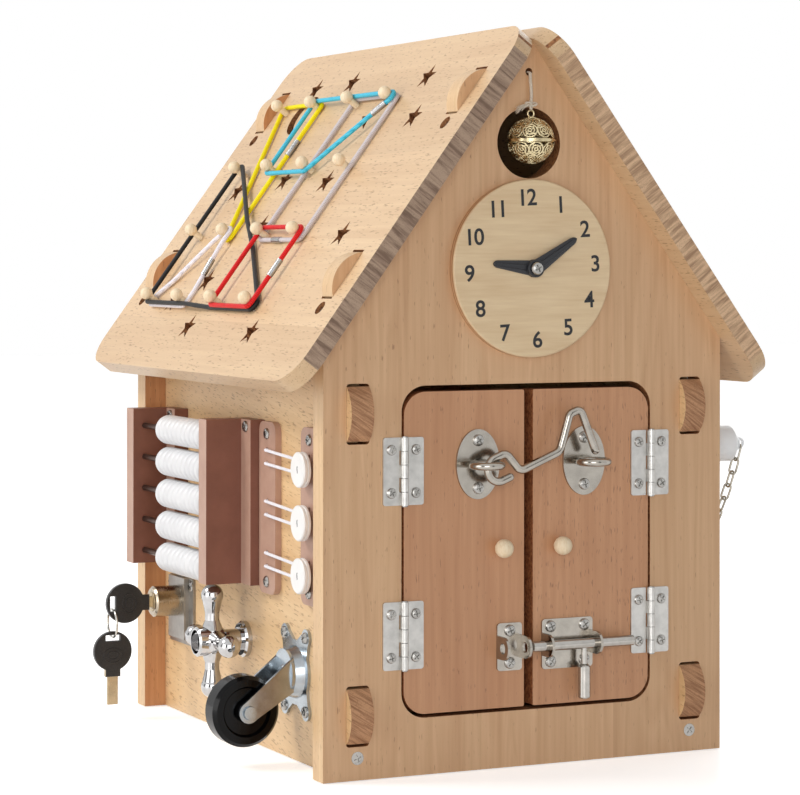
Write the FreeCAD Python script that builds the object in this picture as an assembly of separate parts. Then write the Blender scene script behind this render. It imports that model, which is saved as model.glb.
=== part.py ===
import FreeCAD, Part
import math
import os
from FreeCAD import Vector

# House-shaped wooden activity board for small children, in millimetres, +Z up.
# The origin is the centre of the base at floor level. The front gable with its two
# doors faces -Y, and the wall with the bead frame, lock, tap and caster faces -X.

# Driving sizes of the house
HOUSE_WIDTH = 260.0
HOUSE_DEPTH = 302.0
WALL_HEIGHT = 246.0
ROOF_ANGLE = 53.5
BOARD = 14.0
SIDE_INSET = 14.3
FLOOR_BOARD = 9.0
ROOF_BOARD = 11.0
GABLE_OVERHANG = 17.0
EAVE_OVERHANG = 20.0
ROOF_CORNER_RADIUS = 21.0

# Half-round tabs that come through slots in the next board
TAB_LENGTH = 31.0
TAB_RISE = 7.0
TAB_SLOT_END_GAP = 1.6
ROOF_TAB_PLACES = (47.0, 178.5)
SIDE_TAB_LOW = 36.0
SIDE_TAB_BELOW_EAVE = 40.0
FIT = 0.1

# Doorway and doors
STILE = 48.5
DOORWAY_BOTTOM = 32.4
DOORWAY_BELOW_EAVE = 24.7
DOORWAY_RADIUS = 15.0
DOOR_BOARD = 14.0
DOOR_CORNER_RADIUS = 13.5
DOOR_EASE = 1.0
DOOR_SIDE_GAP = 1.5
DOOR_TOP_GAP = 3.5
DOOR_BOTTOM_GAP = 2.1
DOOR_MIDDLE_GAP = 5.8

# Butt hinges
HINGE_LENGTH = 38.5
HINGE_OPEN_WIDTH = 25.4
HINGE_SHEET = 1.2
KNUCKLE_RADIUS = 2.3
HINGE_PIN_RADIUS = 1.2
PIN_CLEARANCE = 0.06
KNUCKLE_END_GAP = 0.35
HINGE_CORNER = 1.5
TOP_HINGE_DROP = 44.8
BOTTOM_HINGE_RISE = 45.4

# Screws: head radius, head height, shank radius, shank length
HINGE_SCREW = (3.0, 1.5, 1.25, 8.0)
PLATE_SCREW = (3.4, 1.7, 1.3, 8.0)
FRAME_SCREW = (3.7, 0.8, 1.6, 30.0)
ROOF_SCREW = (4.0, 1.8, 1.6, 22.0)
CLOCK_SCREW = (3.7, 2.0, 1.5, 18.0)
WALL_SCREW = (3.4, 1.7, 1.3, 14.0)
CHAIN_SCREW = (3.4, 1.7, 1.3, 13.0)
HOLE_CLEARANCE = 0.03
ROOF_SCREW_DROP = 23.5
ROOF_COUNTERBORE = 3.6
FRAME_SCREW_HEIGHT = 12.5

# Ball knobs on the doors
KNOB_RADIUS = 5.4
KNOB_STAND_OFF = 6.6
KNOB_ABOVE_MIDDLE = 4.35
KNOB_STEM_RADIUS = 2.6
KNOB_FROM_MIDDLE = 19.2
KNOB_STEM_DEPTH = 8.0

# Cabin hook with two eyes on oval plates
EYE_PLATE_WIDTH = 27.6
EYE_PLATE_HEIGHT = 40.2
EYE_PLATE_SHEET = 1.6
EYE_FROM_MIDDLE = (33.5, 36.0)
EYE_BELOW_DOOR_TOP = 42.2
EYE_RING_RADIUS = 8.3
EYE_RING_OUT = 12.5
EYE_WIRE_RADIUS = 2.25
EYE_SCREW_OFFSET = 13.7
HOOK_WIRE_RADIUS = 2.4
HOOK_LOOP_RADIUS = 7.0
HOOK_LOOP_SHIFT = 1.6
HOOK_SEAT = 0.3
HOOK_DIP = 8.4
HOOK_CREST = 9.0
HOOK_TIP_DROP = 17.3
HOOK_TIP_SHORT = 0.9
HOOK_LIFT = 22.0

# Barrel bolt: places along X are measured from the middle of the doorway
BOLT_RISE = 35.2
BOLT_STAND_OFF = 8.0
BOLT_ROD_RADIUS = 3.0
BOLT_EAR_RADIUS = 6.6
BOLT_SHEET = 1.5
BOLT_BORE_CLEARANCE = 0.08
BOLT_BASE_START = 8.2
BOLT_BASE_LENGTH = 33.5
BOLT_BASE_HEIGHT = 29.0
KEEPER_START = 5.0
KEEPER_LENGTH = 16.0
KEEPER_HEIGHT = 27.5
KEEPER_SCREW_UP = 9.3
BASE_SCREW_IN = 5.6
BASE_SCREW_UP = 10.2
BOLT_ROD_LENGTH = 68.0
BOLT_TIP_PAST_KEEPER = 1.0
BOLT_DRAWN = 20.0
BOLT_HANDLE_FROM_EAR = 4.3
BOLT_NECK_RADIUS = 1.8
BOLT_NECK_LENGTH = 12.7
BOLT_GRIP_RADIUS = 3.6
BOLT_GRIP_LENGTH = 19.0

# Clock
CLOCK_BELOW_APEX = 133.8
CLOCK_RADIUS = 51.5
CLOCK_THICKNESS = 5.5
CLOCK_EASE = 1.2
HAND_THICKNESS = 1.8
HAND_GAP = 0.35
HOUR_HAND_LENGTH = 26.5
HOUR_HAND_ANGLE = 174.0
MINUTE_HAND_LENGTH = 32.0
MINUTE_HAND_ANGLE = 33.0
HAND_HUB_RADIUS = 5.2
HAND_TIP_RADIUS = 1.8
HAND_BORE_CLEARANCE = 0.1

# Cuckoo hole, string hole and hanging ball
CUCKOO_BELOW_APEX = 61.2
CUCKOO_RADIUS = 20.6
STRING_HOLE_BELOW_APEX = 19.9
STRING_HOLE_RADIUS = 2.2
BALL_RADIUS = 13.8
BALL_WALL = 1.0
BALL_ABOVE_CUCKOO = 1.4
BALL_SEAM = (0.8, 1.0)
BALL_LOOP_RADIUS = 2.0
BALL_LOOP_WIRE = 0.6
STRING_RADIUS = 0.9
STRING_GAP = 1.3
STRING_TAIL = 1.5
STRING_KNOT_RADIUS = 3.0

# Bead frame on the left wall; places along Y are measured from the front face
BRACKET_BOTTOM = 97.2
BRACKET_REACH = 32.0
BRACKET_THICKNESS = 12.3
BRACKET_FOOT = 14.6
BRACKET_FOOT_SHEET = 9.3
FRONT_BRACKET_FROM_FRONT = 133.8
REAR_BRACKET_FROM_BACK = 28.0
BEAD_ROWS = 5
BEAD_ROW_GAP = 1.8
BEADS_BELOW_TOP = 1.9
BEADS_ABOVE_BOTTOM = -0.8
ROD_RADIUS = 1.9
ROD_OUT = 24.0
ROD_SOCKET = 5.0
BEADS_PER_ROW = 10
BEAD_GAP = 0.06
BEAD_RADIUS = 9.1
BEAD_TRAVEL = 41.0
BEAD_END_GAP = 0.3
BEAD_BORE_CLEARANCE = 0.09
BEAD_EASE = 0.36

# Button strips, buttons and elastic loops on the left wall
STRIP_SIZE = (25.0, 102.4, 4.0)
STRIP_BOTTOM = 93.8
STRIP_CORNER = 6.0
FRONT_STRIP_FROM_FRONT = 43.0
REAR_STRIP_FROM_FRONT = 106.0
STRIP_HOLE_HEIGHTS = (16.5, 24.5, 47.2, 55.2, 77.6, 85.6)
STRIP_HOLE_RADIUS = 1.5
STRIP_HOLE_DEPTH = 3.0
STRIP_SCREW_INSET = 7.2
BUTTON_RADIUS = 10.3
BUTTON_THICKNESS = 4.6
BUTTON_NECK = 3.0
BUTTON_NECK_RADIUS = 2.6
BUTTON_HEIGHTS = (17.4, 47.7, 78.4)
BUTTON_GROOVE = 0.9
BUTTON_EASE = 0.6
LOOP_RADIUS = 0.95
LOOP_GAP = 0.25

# Drawer lock and its keys
LOCK_FROM_BACK = 47.4
LOCK_PLATE_SIZE = (42.0, 43.0, 1.6)
LOCK_BOX_SIZE = (28.0, 36.0, 5.2)
LOCK_MIDDLE_HEIGHT = 66.7
LOCK_CYLINDER_HEIGHT = 72.8
LOCK_CYLINDER_RADIUS = 9.8
LOCK_REACH = 22.0
LOCK_PLUG_RADIUS = 6.2
LOCK_PLUG_CLEARANCE = 0.08
LOCK_BOLT_SIZE = (13.0, 20.0, 2.6)
LOCK_BOLT_CLEARANCE = 0.35
LOCK_BOLT_SHOWS = 0.6
KEY_HEAD_RADIUS = 12.6
KEY_THICKNESS = 3.0
KEY_LENGTH = 34.0
KEY_HEAD_OUT = 18.2
KEY_SLOT = (3.8, 9.8)
KEY_SLOT_OFFSET = 8.4
KEY_BLADE = (7.0, 2.0)
RING_RADIUS = 8.8
RING_WIRE = 0.75
RING_SEAT = 0.5

# Tap with a four-armed handle
TAP_FROM_FRONT = 149.0
TAP_HEIGHT = 61.2
TAP_ARM_OUT = 22.0
TAP_ARM_TIP = 34.5
TAP_BULB_RADIUS = 6.8
TAP_NECK_RADIUS = 4.4
TAP_HUB_RADIUS = 9.0
TAP_HUB_BACK = 7.0
TAP_HUB_FRONT = 11.0
TAP_CUP = (7.2, 6.5)
TAP_STEM_RADIUS = 4.0
TAP_STEM_CLEARANCE = 0.1
TAP_FLANGE = (11.0, 4.0)
TAP_COLLAR_RADIUS = 6.5
TAP_WASHER = (6.0, 1.2)

# Swivel caster
CASTER_FROM_FRONT = 69.0
CASTER_HEIGHT = 52.2
CASTER_PLATE_RADIUS = 19.0
CASTER_SCREW_SPAN = (15.2, 21.4)
CASTER_EAR_RADIUS = 5.2
CASTER_WEB = (15.5, 4.6)
CASTER_PLATE_SHEET = 1.8
CASTER_RACE_RADIUS = 15.5
CASTER_RACE_REACH = 5.2
CASTER_KINGPIN_RADIUS = 3.0
CASTER_KINGPIN_CLEARANCE = 0.08
CASTER_WHEEL_RADIUS = 20.6
CASTER_WHEEL_WIDTH = 17.0
CASTER_TREAD = 6.0
CASTER_AXLE_RADIUS = 2.5
CASTER_AXLE_OUT = 35.0
CASTER_TRAIL = 20.0
CASTER_AXLE_CLEARANCE = 0.08
FORK_SHEET = 1.8
FORK_GAP = 1.2
FORK_BASE_GAP = 0.4
FORK_BASE_RADIUS = 14.0

# Pegs and elastic bands on the left roof board; distances run down the slope from the
# ridge, and back from the front face of the house
PEG_ROWS = (49.5, 100.6, 151.6, 203.0)
PEG_COLUMNS = (267.4, 212.9, 155.7, 100.0)
PEG_BALL_RADIUS = 4.0
PEG_HEIGHT = 9.0
PEG_STEM_RADIUS = 2.1
PEG_DEPTH = 7.0
BAND_RADIUS = 1.45
BAND_LEVELS = (2.0, 4.98)
BAND_GAP = 0.2
BAND_BEND_RADIUS = 40.0
CRIMP_RADIUS = 1.9
CRIMP_LENGTH = 12.0
STAR_RADIUS = 9.6
STAR_INNER = 3.9
STARS = ((31.8, 77.2), (63.3, 58.0), (28.8, 190.2), (61.8, 126.7), (109.8, 122.8), (106.8, 191.1),
         (114.1, 259.8), (150.0, 46.4), (185.6, 205.6), (220.6, 184.5), (221.2, 81.9),
         (143.2, 178.5), (202.0, 239.0), (31.0, 245.5))
MOON_PLACE = (52.5, 237.0)
MOON_RADIUS = 15.5
MOON_BITE_RADIUS = 13.5
MOON_BITE_SHIFT = 7.5

# Stopper, socket and chain on the right wall
SOCKET_GABLE_GAP = 0.0
SOCKET_BELOW_EAVE = 66.0
SOCKET_RADIUS = 15.0
SOCKET_REACH = 12.0
SOCKET_LIP = (18.0, 2.2)
STOPPER_RADIUS = 10.9
STOPPER_REACH = 38.0
STOPPER_NOSE = 9.0
STOPPER_CAP = (8.0, 5.0)
STOPPER_CLEARANCE = 0.15
STOPPER_LOOP = (2.6, 0.8)
CHAIN_WIRE = 0.65
CHAIN_LINK = (11.4, 6.2)
CHAIN_LINKS = 11
CHAIN_SLACK = 0.45
CHAIN_STAND_OFF = 3.7
CHAIN_SCREW_BELOW_SOCKET = 49.0

# Places that follow from the driving sizes
HALF = HOUSE_WIDTH / 2
FRONT = -HOUSE_DEPTH / 2
BACK = HOUSE_DEPTH / 2
SLOPE = math.radians(ROOF_ANGLE)
COS, SIN = math.cos(SLOPE), math.sin(SLOPE)
APEX = WALL_HEIGHT + HALF * SIN / COS
ROOF_LENGTH = (HALF + EAVE_OVERHANG) / COS
WALL_FACE = HALF - SIDE_INSET
DOORWAY_HALF = HALF - STILE
DOORWAY_TOP = WALL_HEIGHT - DOORWAY_BELOW_EAVE
DOOR_TOP = DOORWAY_TOP - DOOR_TOP_GAP
DOOR_BOTTOM = DOORWAY_BOTTOM + DOOR_BOTTOM_GAP
DOOR_OUTER = DOORWAY_HALF - DOOR_SIDE_GAP
DOOR_INNER = DOOR_MIDDLE_GAP / 2
HINGE_X = (DOORWAY_HALF + DOOR_OUTER) / 2
HINGE_Y = FRONT - KNUCKLE_RADIUS - 0.3
HINGE_HEIGHTS = (DOOR_BOTTOM + BOTTOM_HINGE_RISE, DOOR_TOP - TOP_HINGE_DROP)
X, Y, Z = Vector(1, 0, 0), Vector(0, 1, 0), Vector(0, 0, 1)
os.makedirs("parts", exist_ok=True)


def save(name, shapes):
    """Write one node; a list becomes a group of separate solids."""
    shape = Part.makeCompound(shapes) if isinstance(shapes, list) else shapes
    shape.exportStep("parts/%s.step" % name)
    print("%-20s %3d solids %10.1f mm3" % (name, len(shape.Solids), shape.Volume))


def one(shape):
    """The single solid of a boolean's result."""
    return shape.removeSplitter().Solids[0]


def block(x0, x1, y0, y1, z0, z1):
    """Box between two corners."""
    return Part.makeBox(x1 - x0, y1 - y0, z1 - z0, Vector(x0, y0, z0))


def bar(start, end, radius):
    """Round bar from one point to another."""
    run = end - start
    return Part.makeCylinder(radius, run.Length, start, run)


def edges_along(shape, axis):
    """Straight edges that run along an axis."""
    found = []
    for edge in shape.Edges:
        run = edge.Vertexes[-1].Point - edge.Vertexes[0].Point
        if len(edge.Vertexes) == 2 and run.Length > 1e-6 and abs(run.dot(axis)) > 0.999 * run.Length:
            found.append(edge)
    return found


def rounded_block(x, y, z, axis, radius):
    """Box with its four edges along one axis rounded."""
    solid = block(x[0], x[1], y[0], y[1], z[0], z[1])
    return solid.makeFillet(radius, edges_along(solid, axis))


def prism(points, run):
    """Prism over a closed outline of straight edges."""
    return Part.Face(Part.makePolygon(points + [points[0]])).extrude(run)


def turned(profile, place, axis):
    """Solid of revolution: a profile of (radius, distance) points turned about an axis."""
    points = [Vector(r, 0, h) for r, h in profile]
    solid = Part.Face(Part.makePolygon(points + [points[0]])).revolve(Vector(0, 0, 0), Z, 360)
    solid.Placement = FreeCAD.Placement(place, FreeCAD.Rotation(Z, axis))
    return solid


def rounded_path(points, radii, closed=False):
    """Wire of straight runs with a tangent arc at each corner."""
    count = len(points)
    corners = range(count) if closed else range(1, count - 1)
    cuts = {}
    for i in corners:
        before, here, after = points[i - 1], points[i], points[(i + 1) % count]
        a = (before - here).normalize()
        b = (after - here).normalize()
        angle = a.getAngle(b)
        back = radii[i] / math.tan(angle / 2)
        middle = (a + b).normalize()
        centre = here + middle * (radii[i] / math.sin(angle / 2))
        cuts[i] = (here + a * back, centre - middle * radii[i], here + b * back)
    edges = []
    last = count if closed else count - 1
    for i in range(last):
        j = (i + 1) % count
        start = cuts[i][2] if i in cuts else points[i]
        end = cuts[j][0] if j in cuts else points[j]
        if (end - start).Length > 1e-4:
            edges.append(Part.LineSegment(start, end).toShape())
        if j in cuts:
            edges.append(Part.Arc(*cuts[j]).toShape())
    return Part.Wire(edges)


def tube(path, radius):
    """Round tube along a wire, or a ring along a closed one."""
    first = path.Edges[0]
    start = first.valueAt(first.FirstParameter)
    run = first.tangentAt(first.FirstParameter)
    circle = Part.Wire(Part.Circle(start, run, radius).toShape())
    solid = path.makePipeShell([circle], True, False)
    return solid.Solids[0] if solid.Solids else Part.Solid(solid)


def ring(centre, axis, radius, wire):
    """Closed wire ring."""
    return Part.makeTorus(radius, wire, centre, axis)


def cross_recess(radius, depth):
    """Phillips recess for a screw whose head top is at the origin, facing +Z."""
    arm, width = radius * 0.62, radius * 0.24
    slots = [block(-arm, arm, -width / 2, width / 2, -depth, 1),
             block(-width / 2, width / 2, -arm, arm, -depth, 1)]
    return slots[0].fuse(slots[1])


def screw(place, axis, kind, spin=20.0, flat=False):
    """Phillips screw: head on place, facing axis, shank the other way."""
    head, height, shank, length = kind
    if flat:
        profile = [(0, -length), (shank * 0.3, -length), (shank, -length + 3), (shank, 0), (head,
            height * 0.6),
                   (head, height), (0, height)]
    else:
        profile = [(0, -length), (shank * 0.3, -length), (shank, -length + 3), (shank, 0), (head, 0),
                   (head, height * 0.35), (head * 0.86, height * 0.78), (head * 0.55, height), (0, height)]
    solid = turned(profile, Vector(0, 0, 0), Z)
    recess = cross_recess(head, height * 0.75).translated(Vector(0, 0, height))
    solid = solid.cut(recess).Solids[0]
    solid.rotate(Vector(0, 0, 0), Z, spin)
    solid.Placement = FreeCAD.Placement(place, FreeCAD.Rotation(Z, axis)).multiply(solid.Placement)
    return solid


def screw_holes(places, axis, kind):
    """Pilot holes for the shanks of screws set at places."""
    length, radius = kind[3] + 0.3, kind[2] + HOLE_CLEARANCE
    return [Part.makeCylinder(radius, length + 1, place + axis, axis * -1) for place in places]


def screws(places, axis, kind, spins, flat=False):
    """Screws of one kind at several places."""
    return [screw(place, axis, kind, spins[i % len(spins)], flat) for i, place in enumerate(places)]


# Gable panels: pentagon boards whose half-round tabs come up through the roof boards
def slope_point(side, down, out):
    """Point in the gable plane, down the slope from the apex and out from the roof's underside."""
    return Vector(side * (down * COS + out * SIN), 0, APEX - down * SIN + out * COS)


def roof_tab(side, down):
    """Outline of one tab in the gable plane."""
    half = TAB_LENGTH / 2
    foot, top = -6.0, ROOF_BOARD
    p1, p2 = slope_point(side, down - half, foot), slope_point(side, down - half, top)
    crown = slope_point(side, down, top + TAB_RISE)
    p3, p4 = slope_point(side, down + half, top), slope_point(side, down + half, foot)
    edges = [Part.LineSegment(p1, p2).toShape(), Part.Arc(p2, crown, p3).toShape(),
             Part.LineSegment(p3, p4).toShape(), Part.LineSegment(p4, p1).toShape()]
    return Part.Face(Part.Wire(edges)).extrude(Y * BOARD)


SIDE_TAB_HEIGHTS = (SIDE_TAB_LOW, WALL_HEIGHT - SIDE_TAB_BELOW_EAVE)
SIDE_MIDDLE = WALL_FACE - BOARD / 2


def gable(y0):
    """One gable panel with its front face at y0, and slots for the side panels' tabs."""
    outline = [Vector(-HALF, y0, 0), Vector(HALF, y0, 0), Vector(HALF, y0, WALL_HEIGHT), Vector(0, y0,
        APEX),
               Vector(-HALF, y0, WALL_HEIGHT)]
    panel = prism(outline, Y * BOARD)
    for side in (-1, 1):
        for down in ROOF_TAB_PLACES:
            panel = panel.fuse(roof_tab(side, down).translated(Y * y0))
        for height in SIDE_TAB_HEIGHTS:
            half = TAB_LENGTH / 2 + TAB_SLOT_END_GAP
            slot = rounded_block((side * SIDE_MIDDLE - BOARD / 2 - FIT,
                                  side * SIDE_MIDDLE + BOARD / 2 + FIT),
                                 (y0 - 1, y0 + BOARD + 1), (height - half, height + half), Y, 2.0)
            panel = panel.cut(slot)
    return one(panel)


gable_screw_places = [Vector(side * SIDE_MIDDLE, 0, FRAME_SCREW_HEIGHT) for side in (-1, 1)]


def frame_screws_at(y, axis):
    """Frame screws of one gable, sunk flush in their countersinks."""
    places = [p + Y * y - axis * FRAME_SCREW[1] for p in gable_screw_places]
    return screws(places, axis, FRAME_SCREW, (20, 50), True)


def frame_screw_tools(y, axis):
    """Countersunk holes for one gable's frame screws."""
    tools = screw_holes([p + Y * y - axis * FRAME_SCREW[1] for p in gable_screw_places], axis, FRAME_SCREW)
    for p in gable_screw_places:
        tools.append(Part.makeCylinder(FRAME_SCREW[0] + 0.05, FRAME_SCREW[1] + 0.05, p + Y * y, axis * -1))
    return tools


def roof_screw_place(side, down, y):
    """Seat of a roof screw, sunk in its counterbore."""
    return slope_point(side, down, ROOF_BOARD - ROOF_COUNTERBORE) + Y * y


def roof_normal(side):
    """Direction straight out of one roof board."""
    return Vector(side * SIN, 0, COS)


roof_screw_places = []
for side in (-1, 1):
    for down in ROOF_TAB_PLACES:
        for y in (FRONT + BOARD / 2, BACK - BOARD / 2):
            roof_screw_places.append((side, roof_screw_place(side, down + ROOF_SCREW_DROP, y)))


def roof_screw_tools(side):
    """Shank holes of the screws through one roof board."""
    tools = []
    for s, place in roof_screw_places:
        if s == side:
            tools += screw_holes([place], roof_normal(side), ROOF_SCREW)
    return tools


roof_shanks = roof_screw_tools(-1) + roof_screw_tools(1)

# The front gable has the doorway, the cuckoo hole and the hole for the ball's string
CUCKOO = Vector(0, FRONT, APEX - CUCKOO_BELOW_APEX)
STRING_HOLE = Vector(0, FRONT, APEX - STRING_HOLE_BELOW_APEX)
CLOCK = Vector(0, FRONT, APEX - CLOCK_BELOW_APEX)
hinge_leaf_width = (HINGE_OPEN_WIDTH - 2 * KNUCKLE_RADIUS) / 2
HINGE_SCREW_OUT = KNUCKLE_RADIUS + hinge_leaf_width * 0.52
HINGE_SCREW_UP = HINGE_LENGTH / 2 - 7.0


def hinge_screw_places(side, outward):
    """Screws of the two leaves on one side: outward 1 is on the gable, -1 on the door."""
    x = side * (HINGE_X + outward * HINGE_SCREW_OUT)
    return [Vector(x, FRONT - HINGE_SHEET, z + up) for z in HINGE_HEIGHTS for up in (-HINGE_SCREW_UP,
        HINGE_SCREW_UP)]


frame_hinge_places = hinge_screw_places(-1, 1) + hinge_screw_places(1, 1)
clock_screw_place = CLOCK - Y * (CLOCK_THICKNESS + 2 * HAND_THICKNESS + 3 * HAND_GAP)

front_panel = gable(FRONT)
front_tools = [
    rounded_block((-DOORWAY_HALF, DOORWAY_HALF), (FRONT - 1, FRONT + BOARD + 1), (DOORWAY_BOTTOM,
        DOORWAY_TOP), Y,
                  DOORWAY_RADIUS),
    Part.makeCylinder(CUCKOO_RADIUS, BOARD + 2, CUCKOO - Y, Y),
    Part.makeCylinder(STRING_HOLE_RADIUS, BOARD + 2, STRING_HOLE - Y, Y)]
front_tools += screw_holes(frame_hinge_places, Y * -1, HINGE_SCREW)
front_tools += screw_holes([clock_screw_place], Y * -1, CLOCK_SCREW)
front_tools += frame_screw_tools(FRONT, Y * -1) + roof_shanks
front_panel = one(front_panel.cut(front_tools))
save("front_panel", front_panel)

back_panel = one(gable(BACK - BOARD).cut(frame_screw_tools(BACK, Y) + roof_shanks))
save("back_panel", back_panel)


# Side panels: straight boards between the gables, bevelled under the roof
def side_panel(side):
    """One side panel with two tabs at each end."""
    outer, inner = WALL_FACE, WALL_FACE - BOARD
    slope = SIN / COS
    outline = [Vector(side * outer, 0, 0), Vector(side * inner, 0, 0),
               Vector(side * inner, 0, APEX - inner * slope), Vector(side * outer, 0, APEX - outer * slope)]
    panel = prism(outline, Y * (HOUSE_DEPTH - 2 * BOARD)).translated(Y * (FRONT + BOARD))
    half = TAB_LENGTH / 2
    for end in (-1, 1):
        for height in SIDE_TAB_HEIGHTS:
            root, face, crown = (end * (BACK - BOARD - 3), end * BACK, end * (BACK + TAB_RISE))
            x = min(side * outer, side * inner)
            edges = [Part.LineSegment(Vector(x, root, height - half), Vector(x, face,
                height - half)).toShape(),
                     Part.Arc(Vector(x, face, height - half), Vector(x, crown, height),
                              Vector(x, face, height + half)).toShape(),
                     Part.LineSegment(Vector(x, face, height + half), Vector(x, root,
                         height + half)).toShape(),
                     Part.LineSegment(Vector(x, root, height + half), Vector(x, root,
                         height - half)).toShape()]
            panel = panel.fuse(Part.Face(Part.Wire(edges)).extrude(X * BOARD))
    return one(panel.cut(frame_screw_tools(FRONT, Y * -1) + frame_screw_tools(BACK, Y)))


# Fixings on the left wall are set out here, because the wall is drilled for them
LEFT = -WALL_FACE
OUT = Vector(-1, 0, 0)
front_bracket_y = FRONT + FRONT_BRACKET_FROM_FRONT
rear_bracket_y = BACK - REAR_BRACKET_FROM_BACK - BRACKET_THICKNESS
row_pitch = 2 * BEAD_RADIUS + BEAD_ROW_GAP
bottom_row = BRACKET_BOTTOM + BEADS_ABOVE_BOTTOM + BEAD_RADIUS
bracket_top = bottom_row + (BEAD_ROWS - 1) * row_pitch + BEAD_RADIUS + BEADS_BELOW_TOP
bracket_screw_places = [Vector(LEFT - BRACKET_FOOT_SHEET, y - BRACKET_FOOT / 2,
                               bracket_top - 4.2)
                        for y in (front_bracket_y, rear_bracket_y)]
strip_middles = [FRONT + FRONT_STRIP_FROM_FRONT, FRONT + REAR_STRIP_FROM_FRONT]
strip_screw_places = [Vector(LEFT - STRIP_SIZE[2], y, STRIP_BOTTOM + up) for y in strip_middles
                      for up in (STRIP_SCREW_INSET, STRIP_SIZE[1] - STRIP_SCREW_INSET)]
LOCK_Y = BACK - LOCK_FROM_BACK
LOCK = Vector(LEFT, LOCK_Y, LOCK_CYLINDER_HEIGHT)
lock_screw_places = [Vector(LEFT - LOCK_PLATE_SIZE[2], LOCK_Y + a * (LOCK_PLATE_SIZE[0] / 2 - 3.4),
                            LOCK_MIDDLE_HEIGHT + b * (LOCK_PLATE_SIZE[1] / 2 - 5.0))
                     for a in (-1, 1) for b in (-1, 1)]
CASTER = Vector(LEFT, FRONT + CASTER_FROM_FRONT, CASTER_HEIGHT)
caster_screw_places = [CASTER + Vector(-CASTER_PLATE_SHEET, a * CASTER_SCREW_SPAN[0],
                                       b * CASTER_SCREW_SPAN[1])
                       for a in (-1, 1) for b in (-1, 1)]
TAP = Vector(LEFT, FRONT + TAP_FROM_FRONT, TAP_HEIGHT)
left_holes = (screw_holes(bracket_screw_places, OUT, WALL_SCREW)
              + screw_holes(strip_screw_places, OUT, PLATE_SCREW)
              + screw_holes(lock_screw_places, OUT, PLATE_SCREW)
              + screw_holes(caster_screw_places, OUT, PLATE_SCREW)
              + [Part.makeCylinder(TAP_STEM_RADIUS + HOLE_CLEARANCE, BOARD + 2, TAP + OUT, X)])

RIGHT = WALL_FACE
SOCKET = Vector(RIGHT, FRONT + BOARD + SOCKET_GABLE_GAP + SOCKET_LIP[0], WALL_HEIGHT - SOCKET_BELOW_EAVE)
chain_screw_place = Vector(RIGHT + CHAIN_STAND_OFF + CHAIN_WIRE + 0.15, SOCKET.y,
                           SOCKET.z - CHAIN_SCREW_BELOW_SOCKET)
left_panel = one(side_panel(-1).cut(left_holes))
save("left_panel", left_panel)
right_panel = one(side_panel(1).cut(screw_holes([chain_screw_place], X, CHAIN_SCREW)))
save("right_panel", right_panel)

inside = WALL_FACE - BOARD
floor_panel = block(-inside, inside, FRONT + BOARD, BACK - BOARD, 0, FLOOR_BOARD)
save("floor_panel", floor_panel)


# Roof boards, square cut at the ridge, with rounded corners and slots for the tabs
def on_roof(side, down, out, y):
    """Point at a distance down the slope, out from the roof's underside, at y."""
    return slope_point(side, down, out) + Y * y


def roof_board(side):
    """One roof board lying on the gables."""
    y0, y1 = FRONT - GABLE_OVERHANG, BACK + GABLE_OVERHANG
    outline = [on_roof(side, 0, 0, y0), on_roof(side, ROOF_LENGTH, 0, y0), on_roof(side, ROOF_LENGTH, 0,
        y1),
               on_roof(side, 0, 0, y1)]
    board = prism(outline, roof_normal(side) * ROOF_BOARD)
    board = board.makeFillet(ROOF_CORNER_RADIUS, edges_along(board, roof_normal(side)))
    tools = roof_screw_tools(side)
    for down in ROOF_TAB_PLACES:
        half = TAB_LENGTH / 2 + TAB_SLOT_END_GAP
        for y in (FRONT - FIT, BACK - BOARD - FIT):
            slot = [on_roof(side, down - half, -1, y), on_roof(side, down + half, -1, y),
                    on_roof(side, down + half, -1, y + BOARD + 2 * FIT),
                    on_roof(side, down - half, -1, y + BOARD + 2 * FIT)]
            tools.append(prism(slot, roof_normal(side) * (ROOF_BOARD + 2)))
    for s, place in roof_screw_places:
        if s == side:
            tools.append(Part.makeCylinder(ROOF_SCREW[0] + 0.3, ROOF_COUNTERBORE + 1, place,
                                           roof_normal(side)))
    return board.cut(tools)


def star(down, y):
    """Five-pointed cut through the left roof board."""
    points = []
    for i in range(10):
        reach = STAR_RADIUS if i % 2 == 0 else STAR_INNER
        turn = math.radians(36 * i)
        points.append(on_roof(-1, down - reach * math.cos(turn), -1, FRONT + y + reach * math.sin(turn)))
    return prism(points, roof_normal(-1) * (ROOF_BOARD + 2))


def moon():
    """Crescent cut through the left roof board, open towards the front."""
    down, y = MOON_PLACE
    depth = ROOF_BOARD + 2
    full = Part.makeCylinder(MOON_RADIUS, depth, on_roof(-1, down, -1, FRONT + y), roof_normal(-1))
    bite = Part.makeCylinder(MOON_BITE_RADIUS, depth, on_roof(-1, down, -1, FRONT + y - MOON_BITE_SHIFT),
                             roof_normal(-1))
    return full.cut(bite)


peg_places = [[(down, FRONT + y) for y in PEG_COLUMNS] for down in PEG_ROWS]
peg_holes = [Part.makeCylinder(PEG_STEM_RADIUS + HOLE_CLEARANCE, PEG_DEPTH + 1.05,
                               on_roof(-1, down, ROOF_BOARD - PEG_DEPTH - 0.05, y), roof_normal(-1))
             for row in peg_places for down, y in row]
cuts = [star(down, y) for down, y in STARS] + [moon()] + peg_holes
save("roof_left", one(roof_board(-1).cut(cuts)))
save("roof_right", one(roof_board(1)))


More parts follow.
